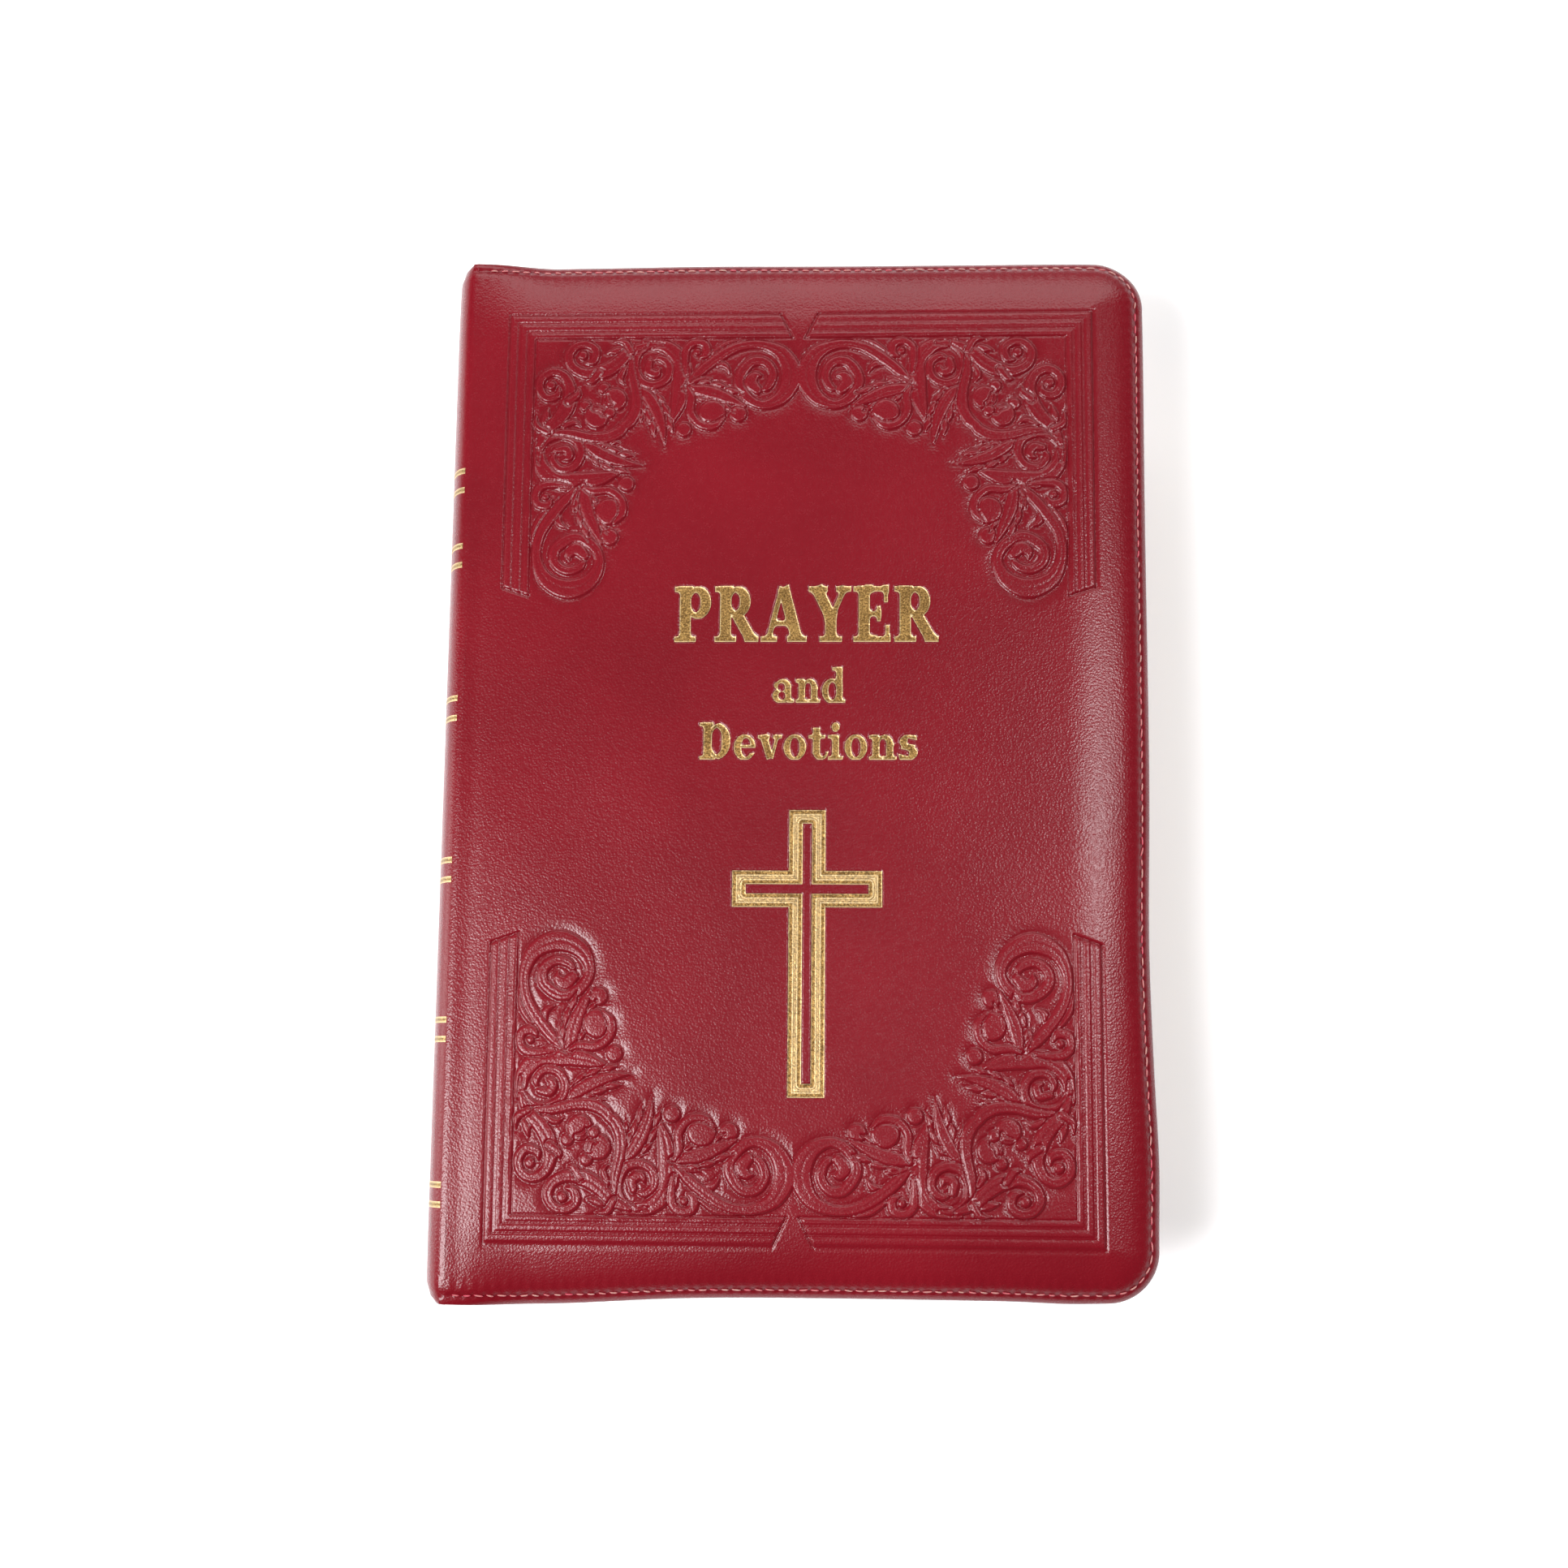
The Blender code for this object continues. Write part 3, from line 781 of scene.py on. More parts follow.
# Each letter is drawn ten units high for a capital and 6.6 for a small one. It has a width, solid
# parts, cut-away parts and parts that are added last. A box has its left, low, right and high
# sides, and a round one its corner radius too. An oval has its middle and half-sizes, and over
# and under are its halves. A bar has its two ends and its width.
SERIF = 0.95
BRACKET = 0.9
SOFT_JOIN = 0.25
LETTER_GAP = 0.55
STEM = (("box", 1.2, 0.3, 3.8, 9.7), ("box", 0, 0, 5.0, SERIF), ("box", 0, 10 - SERIF, 4.2, 10))
LETTERS = {
    "P": (8.9, (*STEM, ("round", 2.4, 4.2, 8.5, 10, 2.9)), (("round", 3.8, 5.2, 6.0, 9.0, 1.6),),
     ()),
    "R": (10.2, (*STEM, ("round", 2.4, 4.5, 8.3, 10, 2.75), ("bar", 4.9, 5.3, 8.6, 0.3, 2.4),
     ("box", 7.3, 0, 10.2, SERIF)), (("round", 3.8, 5.5, 5.8, 9.0, 1.5),), ()),
    "A": (10.6, (("bar", 4.9, 9.9, 1.8, 0.3, 1.15), ("bar", 5.2, 9.9, 8.5, 0.3, 2.6),
     ("box", 3.0, 2.9, 7.5, 3.8), ("box", 0, 0, 3.8, SERIF), ("box", 6.2, 0, 10.7, SERIF)), (), ()),
    "Y": (9.9, (("bar", 1.9, 9.6, 5.1, 4.6, 2.5), ("bar", 8.3, 9.6, 5.6, 4.8, 1.15),
     ("box", 3.9, 0.3, 6.5, 5.2), ("box", 2.6, 0, 7.8, SERIF), ("box", 0, 10 - SERIF, 4.4, 10),
     ("box", 6.4, 10 - SERIF, 9.9, 10)), (), ()),
    "E": (9.0, (*STEM, ("box", 3, 10 - SERIF, 8.0, 10), ("box", 7.1, 7.1, 8.0, 10),
     ("box", 3.4, 4.6, 6.2, 5.5), ("box", 5.5, 3.7, 6.3, 6.4), ("box", 3, 0, 8.4, SERIF),
     ("box", 7.5, 0, 8.4, 3.0)), (), ()),
    "D": (10.2, (*STEM, ("round", 2.4, 0, 9.6, 10, 4.6)), (("round", 3.8, 0.95, 6.9, 9.05, 2.9),),
     ()),
    "a": (7.6, (("oval", 3.0, 1.95, 3.0, 2.1), ("box", 4.4, 0.4, 6.5, 4.6),
     ("over", 3.7, 4.3, 2.8, 2.4), ("oval", 1.5, 4.9, 0.95, 0.95), ("box", 5.6, 0, 7.6, 0.85)),
     (("oval", 3.3, 1.95, 1.25, 1.15), ("oval", 3.1, 4.35, 1.25, 1.2)), ()),
    "n": (8.5, (("box", 1.0, 0.3, 3.2, 6.4), ("box", 0, 0, 4.1, 0.85), ("box", 0, 5.75, 2.6, 6.6),
     ("over", 4.9, 4.0, 2.6, 2.75), ("box", 5.3, 0.3, 7.5, 4.1), ("box", 4.5, 0, 8.5, 0.85)),
     (("box", 3.2, 1.0, 5.3, 4.0), ("oval", 4.3, 4.0, 1.05, 1.6)), ()),
    "d": (8.2, (("oval", 3.5, 3.3, 3.4, 3.5), ("box", 5.0, 0.3, 7.2, 9.8),
     ("box", 3.7, 9.15, 6.8, 10), ("box", 5.6, 0, 8.2, 0.85)), (("oval", 3.7, 3.3, 1.4, 2.5),), ()),
    "e": (7.0, (("oval", 3.4, 3.3, 3.4, 3.5),), (("oval", 3.8, 3.3, 1.5, 2.55),
     ("box", 4.4, 1.75, 8, 3.2)), (("box", 1.6, 3.2, 6.4, 3.95),)),
    "v": (7.5, (("bar", 1.7, 6.4, 3.9, 0.3, 2.2), ("bar", 6.1, 6.4, 4.3, 0.3, 0.95),
     ("box", 0, 5.75, 3.6, 6.6), ("box", 4.8, 5.75, 7.5, 6.6)), (), ()),
    "o": (7.1, (("oval", 3.5, 3.3, 3.5, 3.5),), (("oval", 3.5, 3.3, 1.45, 2.6),), ()),
    "t": (5.7, (("box", 1.5, 1.6, 3.7, 8.6), ("box", 0.1, 5.75, 5.3, 6.6),
     ("under", 3.9, 2.1, 2.4, 2.2)), (("oval", 4.6, 2.1, 0.9, 1.15),), ()),
    "i": (4.6, (("box", 1.2, 0.3, 3.4, 6.4), ("box", 0, 0, 4.6, 0.85), ("box", 0, 5.75, 2.8, 6.6),
     ("oval", 2.3, 8.8, 1.25, 1.25)), (), ()),
    "s": (6.4, (("oval", 3.1, 4.8, 2.7, 1.95), ("oval", 3.1, 1.9, 2.95, 2.0),
     ("box", 4.7, 4.4, 5.6, 6.5), ("box", 0.4, 0.1, 1.3, 2.2)), (("bar", 2.9, 5.1, 6.8, 4.4, 1.5),
     ("bar", 3.3, 1.7, -0.6, 2.5, 1.5)), (("bar", 1.3, 4.2, 4.9, 2.4, 1.7),)),
}


def part_away(part, x, y):
    """Distance outside one part of a letter."""
    kind, *sizes = part
    if kind == "box":
        return box_away(x, y, *sizes)
    if kind == "round":
        left, low, right, high, radius = sizes
        core = box_away(x, y, left + radius, low + radius, right - radius, high - radius)
        return np.maximum(core - radius, left - x)
    if kind == "bar":
        return bar_away(x, y, *sizes)
    away = oval_away(x, y, *sizes)
    if kind == "over":
        return np.maximum(away, sizes[1] - y)
    if kind == "under":
        return np.maximum(away, y - sizes[1])
    return away


def letter_away(letter, x, y):
    """Distance outside a letter, in its own units."""
    _, solid, hollow, added = LETTERS[letter]
    away = np.full(x.shape, 1e3)
    for part in solid:
        softness = BRACKET if part[0] == "box" else SOFT_JOIN
        away = soft_union(away, part_away(part, x, y), softness)
    for part in hollow:
        away = np.maximum(away, -part_away(part, x, y))
    away = np.maximum(away, -y)
    for part in added:
        away = np.minimum(away, part_away(part, x, y))
    return away


def row_away(x, y, text, left, right, base, height):
    """Distance outside a row of letters that is fitted between two sides."""
    advances = [LETTERS[letter][0] + LETTER_GAP for letter in text]
    squeeze = (right - left) / (sum(advances) - LETTER_GAP)
    scale = height / 10
    away = np.full(x.shape, 1e3)
    pen = 0.0
    for letter, advance in zip(text, advances):
        here = letter_away(letter, (x - left) / squeeze - pen, (y - base) / scale)
        away = np.minimum(away, here)
        pen += advance
    return away * min(scale, squeeze)


def title_away(x, y):
    """Distance outside all the letters of the title."""
    away = np.full(x.shape, 1e3)
    for row in TITLE_ROWS:
        away = np.minimum(away, row_away(x, y, *row))
    return away


def cross_shape(x, y, inset):
    """Distance outside a cross that is smaller than the stamped one by an inset."""
    half_bar, half_span = CROSS_HALF_BAR - inset, CROSS_HALF_SPAN - inset
    tall = box_away(
        x, y, CROSS_X - half_bar, CROSS_FOOT + inset, CROSS_X + half_bar, CROSS_TOP - inset)
    wide = box_away(
        x, y, CROSS_X - half_span, CROSS_ARM_Y - half_bar, CROSS_X + half_span,
        CROSS_ARM_Y + half_bar)
    return np.minimum(tall, wide)


def cross_away(x, y):
    """Distance outside the rim of the cross."""
    return np.maximum(cross_shape(x, y, 0.0), -cross_shape(x, y, CROSS_RIM))


def foil_height(away):
    """Foil lies at the bottom of the pressed shape and climbs its walls."""
    return FOIL_LIFT - 0.12 * smooth_step(-away, 0.0, 0.24)


def press_depth(x, y):
    """How deep the gold stamps press the leather."""
    low, high = STAMPED_HEIGHTS
    near = (np.abs(x - CROSS_X) < STAMPED_HALF_WIDTH) & (y < high) & (y > low)
    away = np.full(x.shape, 9.0)
    away[near] = np.minimum(title_away(x[near], y[near]), cross_away(x[near], y[near]))
    return PRESS * smooth_step(-away, -0.16, 0.2)


def cut_sheet(away_at, low, high, step):
    """A flat sheet cut to a shape, whose grid points near the outline are moved on to it.

    Returns the places of its points, how far inside the outline each one lies, and its faces.
    """
    x, y = np.meshgrid(*(np.arange(low[way] - 1, high[way] + 1, step) for way in (0, 1)))
    away = away_at(x, y)
    slope_y, slope_x = np.gradient(away, step)
    size = np.maximum(slope_x ** 2 + slope_y ** 2, 0.25)
    near = np.abs(away) < 0.5 * step
    x = np.where(near, x - away * slope_x / size, x)
    y = np.where(near, y - away * slope_y / size, y)
    faces = grid_faces(*x.shape)
    faces = faces[(away < 0.5 * step).ravel()[faces].all(1)]
    used = np.unique(faces)
    order = np.zeros(x.size, int)
    order[used] = np.arange(len(used))
    inside = np.minimum(np.where(near, 0.0, away), 0.0).ravel()[used]
    return x.ravel()[used], y.ravel()[used], inside, order[faces]


def foil_piece(name, away_at, low, high, finish, fluted=False):
    """A sheet of foil pressed into the front cover."""
    x, y, inside, faces = cut_sheet(away_at, low, high, FOIL_STEP * (1))
    height = foil_height(inside)
    # rim is a painted highlight along the foil's edges, and along the flutes of the cross.
    rim = np.clip(1 + inside / 0.2, 0, 1)
    if fluted:
        for line in FLUTES:
            height += 0.05 * hump(-inside, line, 0.12)
            rim = np.maximum(rim, 0.8 * hump(-inside, line, 0.13))
    points = np.column_stack([x, y, TOP_Z + height + swell(x, y)])
    piece = make_mesh(name, points, faces, [finish], {"rim": rim})
    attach(piece, "front_cover")
    return piece


# ---------------------------------------------------------------- covers


def roll_drop(inset):
    """How far the leather has rolled down at a distance in from its free edge."""
    share = np.clip(1 - inset / ROLL_WIDTH, 0, 1)
    cushion = np.clip(1 - inset / CUSHION_WIDTH, 0, 1)
    rolled = ROLL_DROP * (1 - np.sqrt(1 - ROLL_TURN * share ** 2))
    return rolled + CUSHION_DROP * cushion ** CUSHION_POWER


def rim_profile():
    """(inset, depth) from where the corner zone starts, over the edge and back under it."""
    steps = 34
    turn = np.sin(np.linspace(0, math.pi / 2, steps))
    insets = list(COVER_CORNER * (1 - turn))
    depths = list(roll_drop(np.array(insets)))
    lowest = depths[-1]
    for angle in np.linspace(0, math.pi, LIP_STEPS + 1)[1:]:
        insets.append(LEATHER / 2 * (1 - math.cos(angle)))
        depths.append(lowest + LEATHER / 2 * math.sin(angle))
    for inset in TUCKED_IN:
        insets.append(inset)
        depths.append(roll_drop(inset - LEATHER * 0.8) + LEATHER)
    return np.array(insets), np.array(depths)


def waved(place, base, *humps):
    """How far a soft edge stands out at a place along it."""
    return base + sum(size * hump(place, middle, width) for size, middle, width in humps)


def soft_edges(x, y, inset, side, in_rim=True):
    """Moves places in the rim outwards with the waves of the head, tail and fore-edge."""
    head, tail, fore = waved(x, *HEAD_WAVES), waved(x, *TAIL_WAVES), waved(y, *FORE_WAVES)
    if side < 0:
        head, tail, fore = 0.5 * tail, 0.5 * head, 0.3 * fore
    near_edge = np.where(in_rim, 1 - smooth_step(inset, 0.0, WAVE_REACH), 0.0)
    lean_x = near_edge * smooth_step(x, FORE_X - WAVE_START, FORE_X - WAVE_FULL)
    lean_y = near_edge * smooth_step(np.abs(y), HEAD_Y - WAVE_START, HEAD_Y - WAVE_FULL)
    return x + fore * lean_x, y + np.where(y > 0, head, -tail) * lean_y


def line_length(x, y):
    """Length along the stitch line to the nearest place on it."""
    angle = np.arctan2(np.maximum(np.abs(y) - CORNER_Y, 0), np.maximum(x - CORNER_X, 1e-9))
    turned = LINE_STRAIGHT + LINE_RADIUS * (math.pi / 2 - angle)
    head = np.where(x < CORNER_X, x - HINGE_X, turned)
    tail = 2 * LINE_HALF - head
    return np.where(np.abs(y) < CORNER_Y, LINE_HALF - y, np.where(y > 0, head, tail))


def line_place(length):
    """(x, y, outward angle) at a length along the stitch line, whose tail half mirrors its head."""
    near = min(length, 2 * LINE_HALF - length)
    angle = np.clip(math.pi / 2 - (near - LINE_STRAIGHT) / LINE_RADIUS, 0, math.pi / 2)
    x = min(HINGE_X + near, CORNER_X) + LINE_RADIUS * math.cos(angle)
    y = min(LINE_HALF - near, CORNER_Y) + LINE_RADIUS * math.sin(angle)
    return (x, y, angle) if length < LINE_HALF else (x, -y, -angle)


def cover_spacing(edges, plain):
    """Finest over the moulded frame, fine over the corner pieces, and wider between them."""
    def step_at(place):
        if any(edge - 0.6 < place < edge + MOULDING_WIDTH + 0.8 for edge in edges):
            return FINER
        return plain if abs(place) < PLAIN_HALF else FINE
    return step_at


def cover_places(side):
    """x, y, inset, depth, in the rim and under it, of every point of a cover's leather."""
    insets, depths = rim_profile()
    left, low = (middle - half for middle, half in zip(STAMP_MIDDLE, STAMP_HALF))
    right, high = (middle + half - MOULDING_WIDTH for middle, half in zip(STAMP_MIDDLE, STAMP_HALF))
    if side > 0:
        x_step, y_step = cover_spacing((left, right), FINE), cover_spacing((low, high), 1.3 * FINE)
    else:
        x_step = y_step = lambda place: PLAIN_STEP
    columns = np.concatenate([
        graded(HINGE_X - SHOULDER_START, HINGE_X + 6.0, lambda place: 0.4)[:-1],
        graded(HINGE_X + 6.0, CORNER_X, x_step)])
    rows = graded(-CORNER_Y, CORNER_Y, y_step)
    rings = len(insets) - 1
    outward = np.arange(1, rings + 1)
    column_ring = np.concatenate([np.zeros(len(columns), int), outward])
    row_ring = np.concatenate([outward[::-1], np.zeros(len(rows), int), outward])
    column_x = np.concatenate([columns, np.full(rings, CORNER_X)])[None, :]
    row_y = np.concatenate([np.full(rings, -CORNER_Y), rows, np.full(rings, CORNER_Y)])[:, None]
    a, b = np.meshgrid(column_ring, row_ring)
    ring = np.maximum(a, b)
    in_rim = ring > 0
    turned = np.minimum(a, b) / np.maximum(ring, 1) * math.pi / 4
    angle = np.where(a >= b, turned, math.pi / 2 - turned)
    radius = COVER_CORNER - insets[ring]
    x = column_x + np.where(in_rim & (a > 0), radius * np.cos(angle), 0.0)
    y = row_y + np.where(in_rim & (b > 0), radius * np.sin(angle), 0.0) * np.sign(row_y + 1e-9)
    inset, depth = insets[ring], depths[ring]
    inset[~in_rim] = inner_inset(x[~in_rim], y[~in_rim])
    depth[~in_rim] = roll_drop(inset[~in_rim])
    return x, y, inset, depth, in_rim, ring > rings - LIP_STEPS - len(TUCKED_IN)


def inner_inset(x, y):
    """Distance in from the free edges, beyond the corner zones, softened at the mitre."""
    a = x - CORNER_X
    b = np.abs(y) - CORNER_Y
    soft = 0.8 * np.minimum(np.abs(a), np.abs(b)) + 1e-6
    overlap = np.clip(1 - np.abs(a - b) / soft, 0, 1)
    return COVER_CORNER - np.maximum(a, b) - soft * overlap ** 2 / 4


def swell(x, y):
    """The slight unevenness of padded leather."""
    return 0.10 * np.sin(x / 17 + 1.3) * np.sin(y / 23 + 0.4) + 0.04 * np.sin(x / 7.1 + y / 9.3)


def shoulder_dip(x):
    """How far the leather has rolled down towards the spine, with a faint hollow over the hinge."""
    share = np.clip((HINGE_X - x) / (HINGE_X - SPINE_X), 0, 1)
    roll = TOP_Z / 2 * (1 - (1 - share ** SPINE_SQUARENESS) ** (1 / SPINE_SQUARENESS))
    return roll + HOLLOW_DEPTH * hump(x, HINGE_X + 2.6, 1.9)


def spine_fade(x):
    """The head and tail edges roll down less where they run into the spine."""
    return END_FADE + (1 - END_FADE) * smooth_step(x, HINGE_X - 1.0, HINGE_X + 18.0)


def cover_leather(name, side, outer_z, finish, stamp=None):
    """A cover's leather, from the crease beside the spine, over its rolled margins and under."""
    x, y, inset, depth, in_rim, under = cover_places(side)
    top = ~under
    dip = shoulder_dip(x)
    z = -depth * spine_fade(x) - np.where(top, dip, np.minimum(dip, 0.8))
    if side > 0:
        z += swell(x, y) * smooth_step(inset, 3.0, 12.0)
    beat = 0.5 + 0.5 * np.cos(2 * math.pi * line_length(x, y) / STITCH_PITCH)
    channel = hump(inset, STITCH_MARGIN, 0.55) * top
    pucker = hump(inset, STITCH_MARGIN + 1.5, 1.1) * top
    z += pucker * 0.10 * beat - channel * (0.16 + 0.16 * beat)
    # Painted shade: the stitch channel is marked in cut, darkest where each stitch pulls it down.
    cut = channel * (0.25 + 0.5 * beat)
    if stamp:
        flat = (inset > 4.0) & top
        rise, lines = stamped_corners(stamp, x[flat], y[flat])
        z[flat] += rise - press_depth(x[flat], y[flat])
        cut[flat] = np.maximum(cut[flat], lines)
    x, y = soft_edges(x, y, inset, side, in_rim)
    points = np.stack([x, y, outer_z + side * z], -1)
    piece = make_mesh(name, points, grid_faces(*x.shape)[:, ::side], [finish], {"cut": cut})
    HINGE_X * MM - 0.0008
    HINGE_X * MM + 0.004
    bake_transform(piece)
    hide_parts(name)
    return piece


def stitch_shape():
    """One stitch: a short thread that dives into a hole at each end. Its length is one unit."""
    along = np.linspace(-1, 1, 9)
    around = np.linspace(0, 2 * math.pi, 9)[:-1]
    s, a = np.meshgrid(along, around, indexing="ij")
    plump = np.sqrt(np.clip(1 - 0.82 * s ** 4, 0, 1))
    dive = -0.55 * np.abs(s) ** 3
    points = np.stack([s * 0.5, np.cos(a) * plump, np.sin(a) * plump * 0.85 + dive], -1)
    faces = grid_faces(*s.shape, closed=True)
    return points.reshape(-1, 3), faces, (np.abs(s) ** 3).ravel()


def stitches(name, body, side, outer_z, finish):
    """Edge stitching round a cover, one short thread for each stitch."""
    shape, faces, ends = stitch_shape()
    rng = np.random.default_rng(7)
    points, all_faces, stains = [], [], []
    slope = (roll_drop(STITCH_MARGIN + 0.1) - roll_drop(STITCH_MARGIN - 0.1)) / 0.2
    for number in range(1, int(2 * LINE_HALF / STITCH_PITCH)):
        x, y, angle = line_place((number + 0.5) * STITCH_PITCH)
        x, y = soft_edges(x, y, STITCH_MARGIN, side)
        out = np.array([math.cos(angle), math.sin(angle), 0.0])
        lift = np.array([0.0, 0.0, 1.0]) - out * slope
        lift /= np.linalg.norm(lift)
        along = np.cross(lift, out)
        along /= np.linalg.norm(along)
        aside = np.cross(lift, along)
        length = STITCH_PITCH * (0.70 + 0.09 * rng.standard_normal())
        depth = roll_drop(STITCH_MARGIN) * spine_fade(x) + shoulder_dip(x)
        centre = np.array([x, y, -depth]) + lift * (0.01 + 0.05 * rng.standard_normal())
        skew = along + aside * (0.12 * rng.standard_normal() - 0.06)
        placed = centre + shape @ np.array([length * skew, STITCH_RADIUS * aside, STITCH_RADIUS * lift])
        placed[:, 2] = outer_z + side * placed[:, 2]
        all_faces.append(faces + len(points) * len(shape))
        points.append(placed)
        stains.append(ends * 0.7 + 0.55 * rng.random() + 0.35 * (rng.random() < 0.2))
    piece = make_mesh(name + "_stitches", np.concatenate(points),
                      np.concatenate(all_faces)[:, ::side], [finish], {"stain": np.concatenate(stains)})
    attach(piece, body)
    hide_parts(name)
    return piece


# ---------------------------------------------------------------- spine


def end_sink(turn, inset):
    """How far the spine draws in towards its ends: as the covers do where it meets them."""
    share = min(max(1 - inset / END_RADIUS, 0.0), 1.0)
    rolled = END_FADE * roll_drop(inset) * (0.08 + 0.92 * np.sin(turn) ** 4)
    rounded = END_ROUND * (1 - math.sqrt(1 - ROLL_TURN * share ** 2))
    return rolled + rounded * np.maximum(np.cos(turn), 0.0)


def spine_place(turn, depth=0.0):
    """(x, z) on the rounded spine at an angle from its middle, depth inside its outer face."""
    across = HINGE_X - SPINE_X - depth
    up = TOP_Z / 2 - 0.04 - depth
    power = 2 / SPINE_SQUARENESS
    lean = np.maximum(np.cos(turn), 0.0) ** power
    rise = np.sign(turn) * np.abs(np.sin(turn)) ** power
    return HINGE_X - across * lean, TOP_Z / 2 + up * rise


def spine_end(turn, end):
    """How far the spine's soft head or tail stands out beyond a line: least at its middle."""
    reach = HEAD_REACH if end > 0 else TAIL_REACH
    return reach * (1 - 0.88 * np.maximum(np.cos(turn), 0.0) ** 3)


def spine_leather(finish):
    """Outer face, turned-in ends and inner face of the spine, as one sheet."""
    turns = np.linspace(-math.pi / 2, math.pi / 2, 61)
    rows, cuts = [], []

    def add_row(y, depth, cut=0.0):
        x, z = spine_place(turns, depth)
        rows.append(np.column_stack([x, np.broadcast_to(y, turns.shape), z]))
        cuts.append(np.full(len(turns), cut))

    def inner_row(end):
        add_row(end * (HEAD_Y - SPINE_TURN_IN), END_FADE * roll_drop(0.0) + LEATHER)

    def lip_row(end, step):
        angle = math.pi * step / SPINE_LIP_STEPS
        add_row(end * (HEAD_Y + spine_end(turns, end) + 0.15 * math.sin(angle)),
                end_sink(turns, 0.0) + LEATHER / 2 * (1 - math.cos(angle)))

    inner_row(-1)
    for step in range(SPINE_LIP_STEPS, 0, -1):
        lip_row(-1, step)
    for place in np.linspace(-1, 1, 226):
        inset = (1 - abs(place)) * HEAD_Y
        # The stitch channel near each end is marked in cut, so that painted shade darkens it.
        channel = hump(inset, STITCH_MARGIN, 0.5)
        add_row(place * (HEAD_Y + spine_end(turns, place)),
                end_sink(turns, inset) + 0.2 * channel, 0.6 * channel)
    for step in range(1, SPINE_LIP_STEPS + 1):
        lip_row(1, step)
    inner_row(1)
    piece = make_mesh("spine_leather_rounded", np.stack(rows), grid_faces(len(rows), len(turns)),
                      [finish], {"cut": np.stack(cuts)})
    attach(piece, "text_block")
    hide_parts("spine_leather")
    return piece


def spine_rules(finish):
    """Pairs of gold rules across the spine, from shoulder to shoulder."""
    turns = np.linspace(-RULE_TURN, RULE_TURN, 49)
    across = np.linspace(-0.5, 0.5, 5)
    for number, pair in enumerate(RULE_PAIRS, 1):
        rows, faces, edge_glints = [], [], []
        for y in pair:
            faces.append(grid_faces(len(across), len(turns)) + len(rows) * len(turns))
            for share in across:
                x, z = spine_place(turns, 0.04 * abs(share) - FOIL_LIFT)
                rows.append(np.column_stack([x, np.full(len(turns), y + share * RULE_WIDTH), z]))
                # Painted highlight along both edges of each rule, carried in the rim attribute.
                edge_glints.append(np.full(len(turns), 2 * abs(share)))
        piece = make_mesh(f"spine_gold_rules_{number}", np.stack(rows), np.concatenate(faces),
                          [finish], {"rim": np.stack(edge_glints)})
        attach(piece, "text_block")


def ornament_away(s, y):
    """Distance outside a lozenge with a heart and four dots, s across the spine's face."""
    lozenge = np.abs(s) / LOZENGE[0] + np.abs(y) / LOZENGE[1]
    ring = np.abs(lozenge - 0.86) * LOZENGE_SLOPE - 0.62
    heart = (lozenge - 0.36) * LOZENGE_SLOPE
    away = np.minimum(ring, heart)
    for dot_s, dot_y in DOTS:
        away = np.minimum(away, np.hypot(s - dot_s, y - dot_y) - DOT_RADIUS)
    return away


def spine_ornaments(finish):
    """A plain gold lozenge with four dots in each tall panel of the spine."""
    s, y, inside, faces = cut_sheet(ornament_away, (-8, -11), (8, 11), 0.25)
    turns = np.linspace(-math.pi / 2, math.pi / 2, 400)
    line_x, line_z = spine_place(turns)
    lengths = np.cumsum(np.hypot(np.diff(line_x, prepend=line_x[0]), np.diff(line_z, prepend=line_z[0])))
    x, z = spine_place(np.interp(s, lengths - lengths[-1] / 2, turns), -FOIL_LIFT)
    # rim is a painted highlight along the ornament's edges.
    rim = np.clip(1 + inside / 0.3, 0, 1)
    for number, middle in enumerate(ORNAMENT_MIDDLES, 1):
        points = np.column_stack([x, y + middle, z])
        piece = make_mesh(f"spine_ornament_{number}", points, faces, [finish], {"rim": rim})
        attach(piece, "text_block")


# ---------------------------------------------------------------- pages


def crown(z):
    """0 at the shoulders of the page block and 1 half-way between them."""
    half = TOP_Z / 2 - (TOP_Z - LINING_Z)
    return np.maximum(0, 1 - ((z - TOP_Z / 2) / half) ** 2)


def page_outline(spine_x, fore_x, gutter, steps=8):
    """Points round a leaf, closer beside the spine, from its tail there round to its head."""
    corner_x, corner_y = fore_x - PAGE_CORNER, PAGE_HALF - PAGE_CORNER
    run = np.concatenate([spine_x + gutter * np.linspace(0, 1, 17) ** 1.3,
                          np.linspace(spine_x + gutter, corner_x, 12)[1:]])
    turn = np.linspace(-math.pi / 2, 0, steps)[1:]
    low = np.column_stack([
        np.concatenate([run, corner_x + PAGE_CORNER * np.cos(turn)]),
        np.concatenate([np.full(len(run), -PAGE_HALF), -corner_y + PAGE_CORNER * np.sin(turn)])])
    return np.concatenate([low, low[::-1] * (1, -1)])


def page_faces(levels, count):
    """Faces and slots of a stack of page outlines: slot 1 for walls, 0 for the two flat ends."""
    walls = grid_faces(levels, count, closed=True)
    caps = []
    for level, flip in ((0, True), (levels - 1, False)):
        base = level * count
        for k in range(count // 2 - 1):
            face = [base + k, base + k + 1, base + count - 2 - k, base + count - 1 - k]
            caps.append(face[::-1] if flip else face)
    return np.concatenate([walls, np.array(caps)]), np.repeat([1, 0], [len(walls), len(caps)])


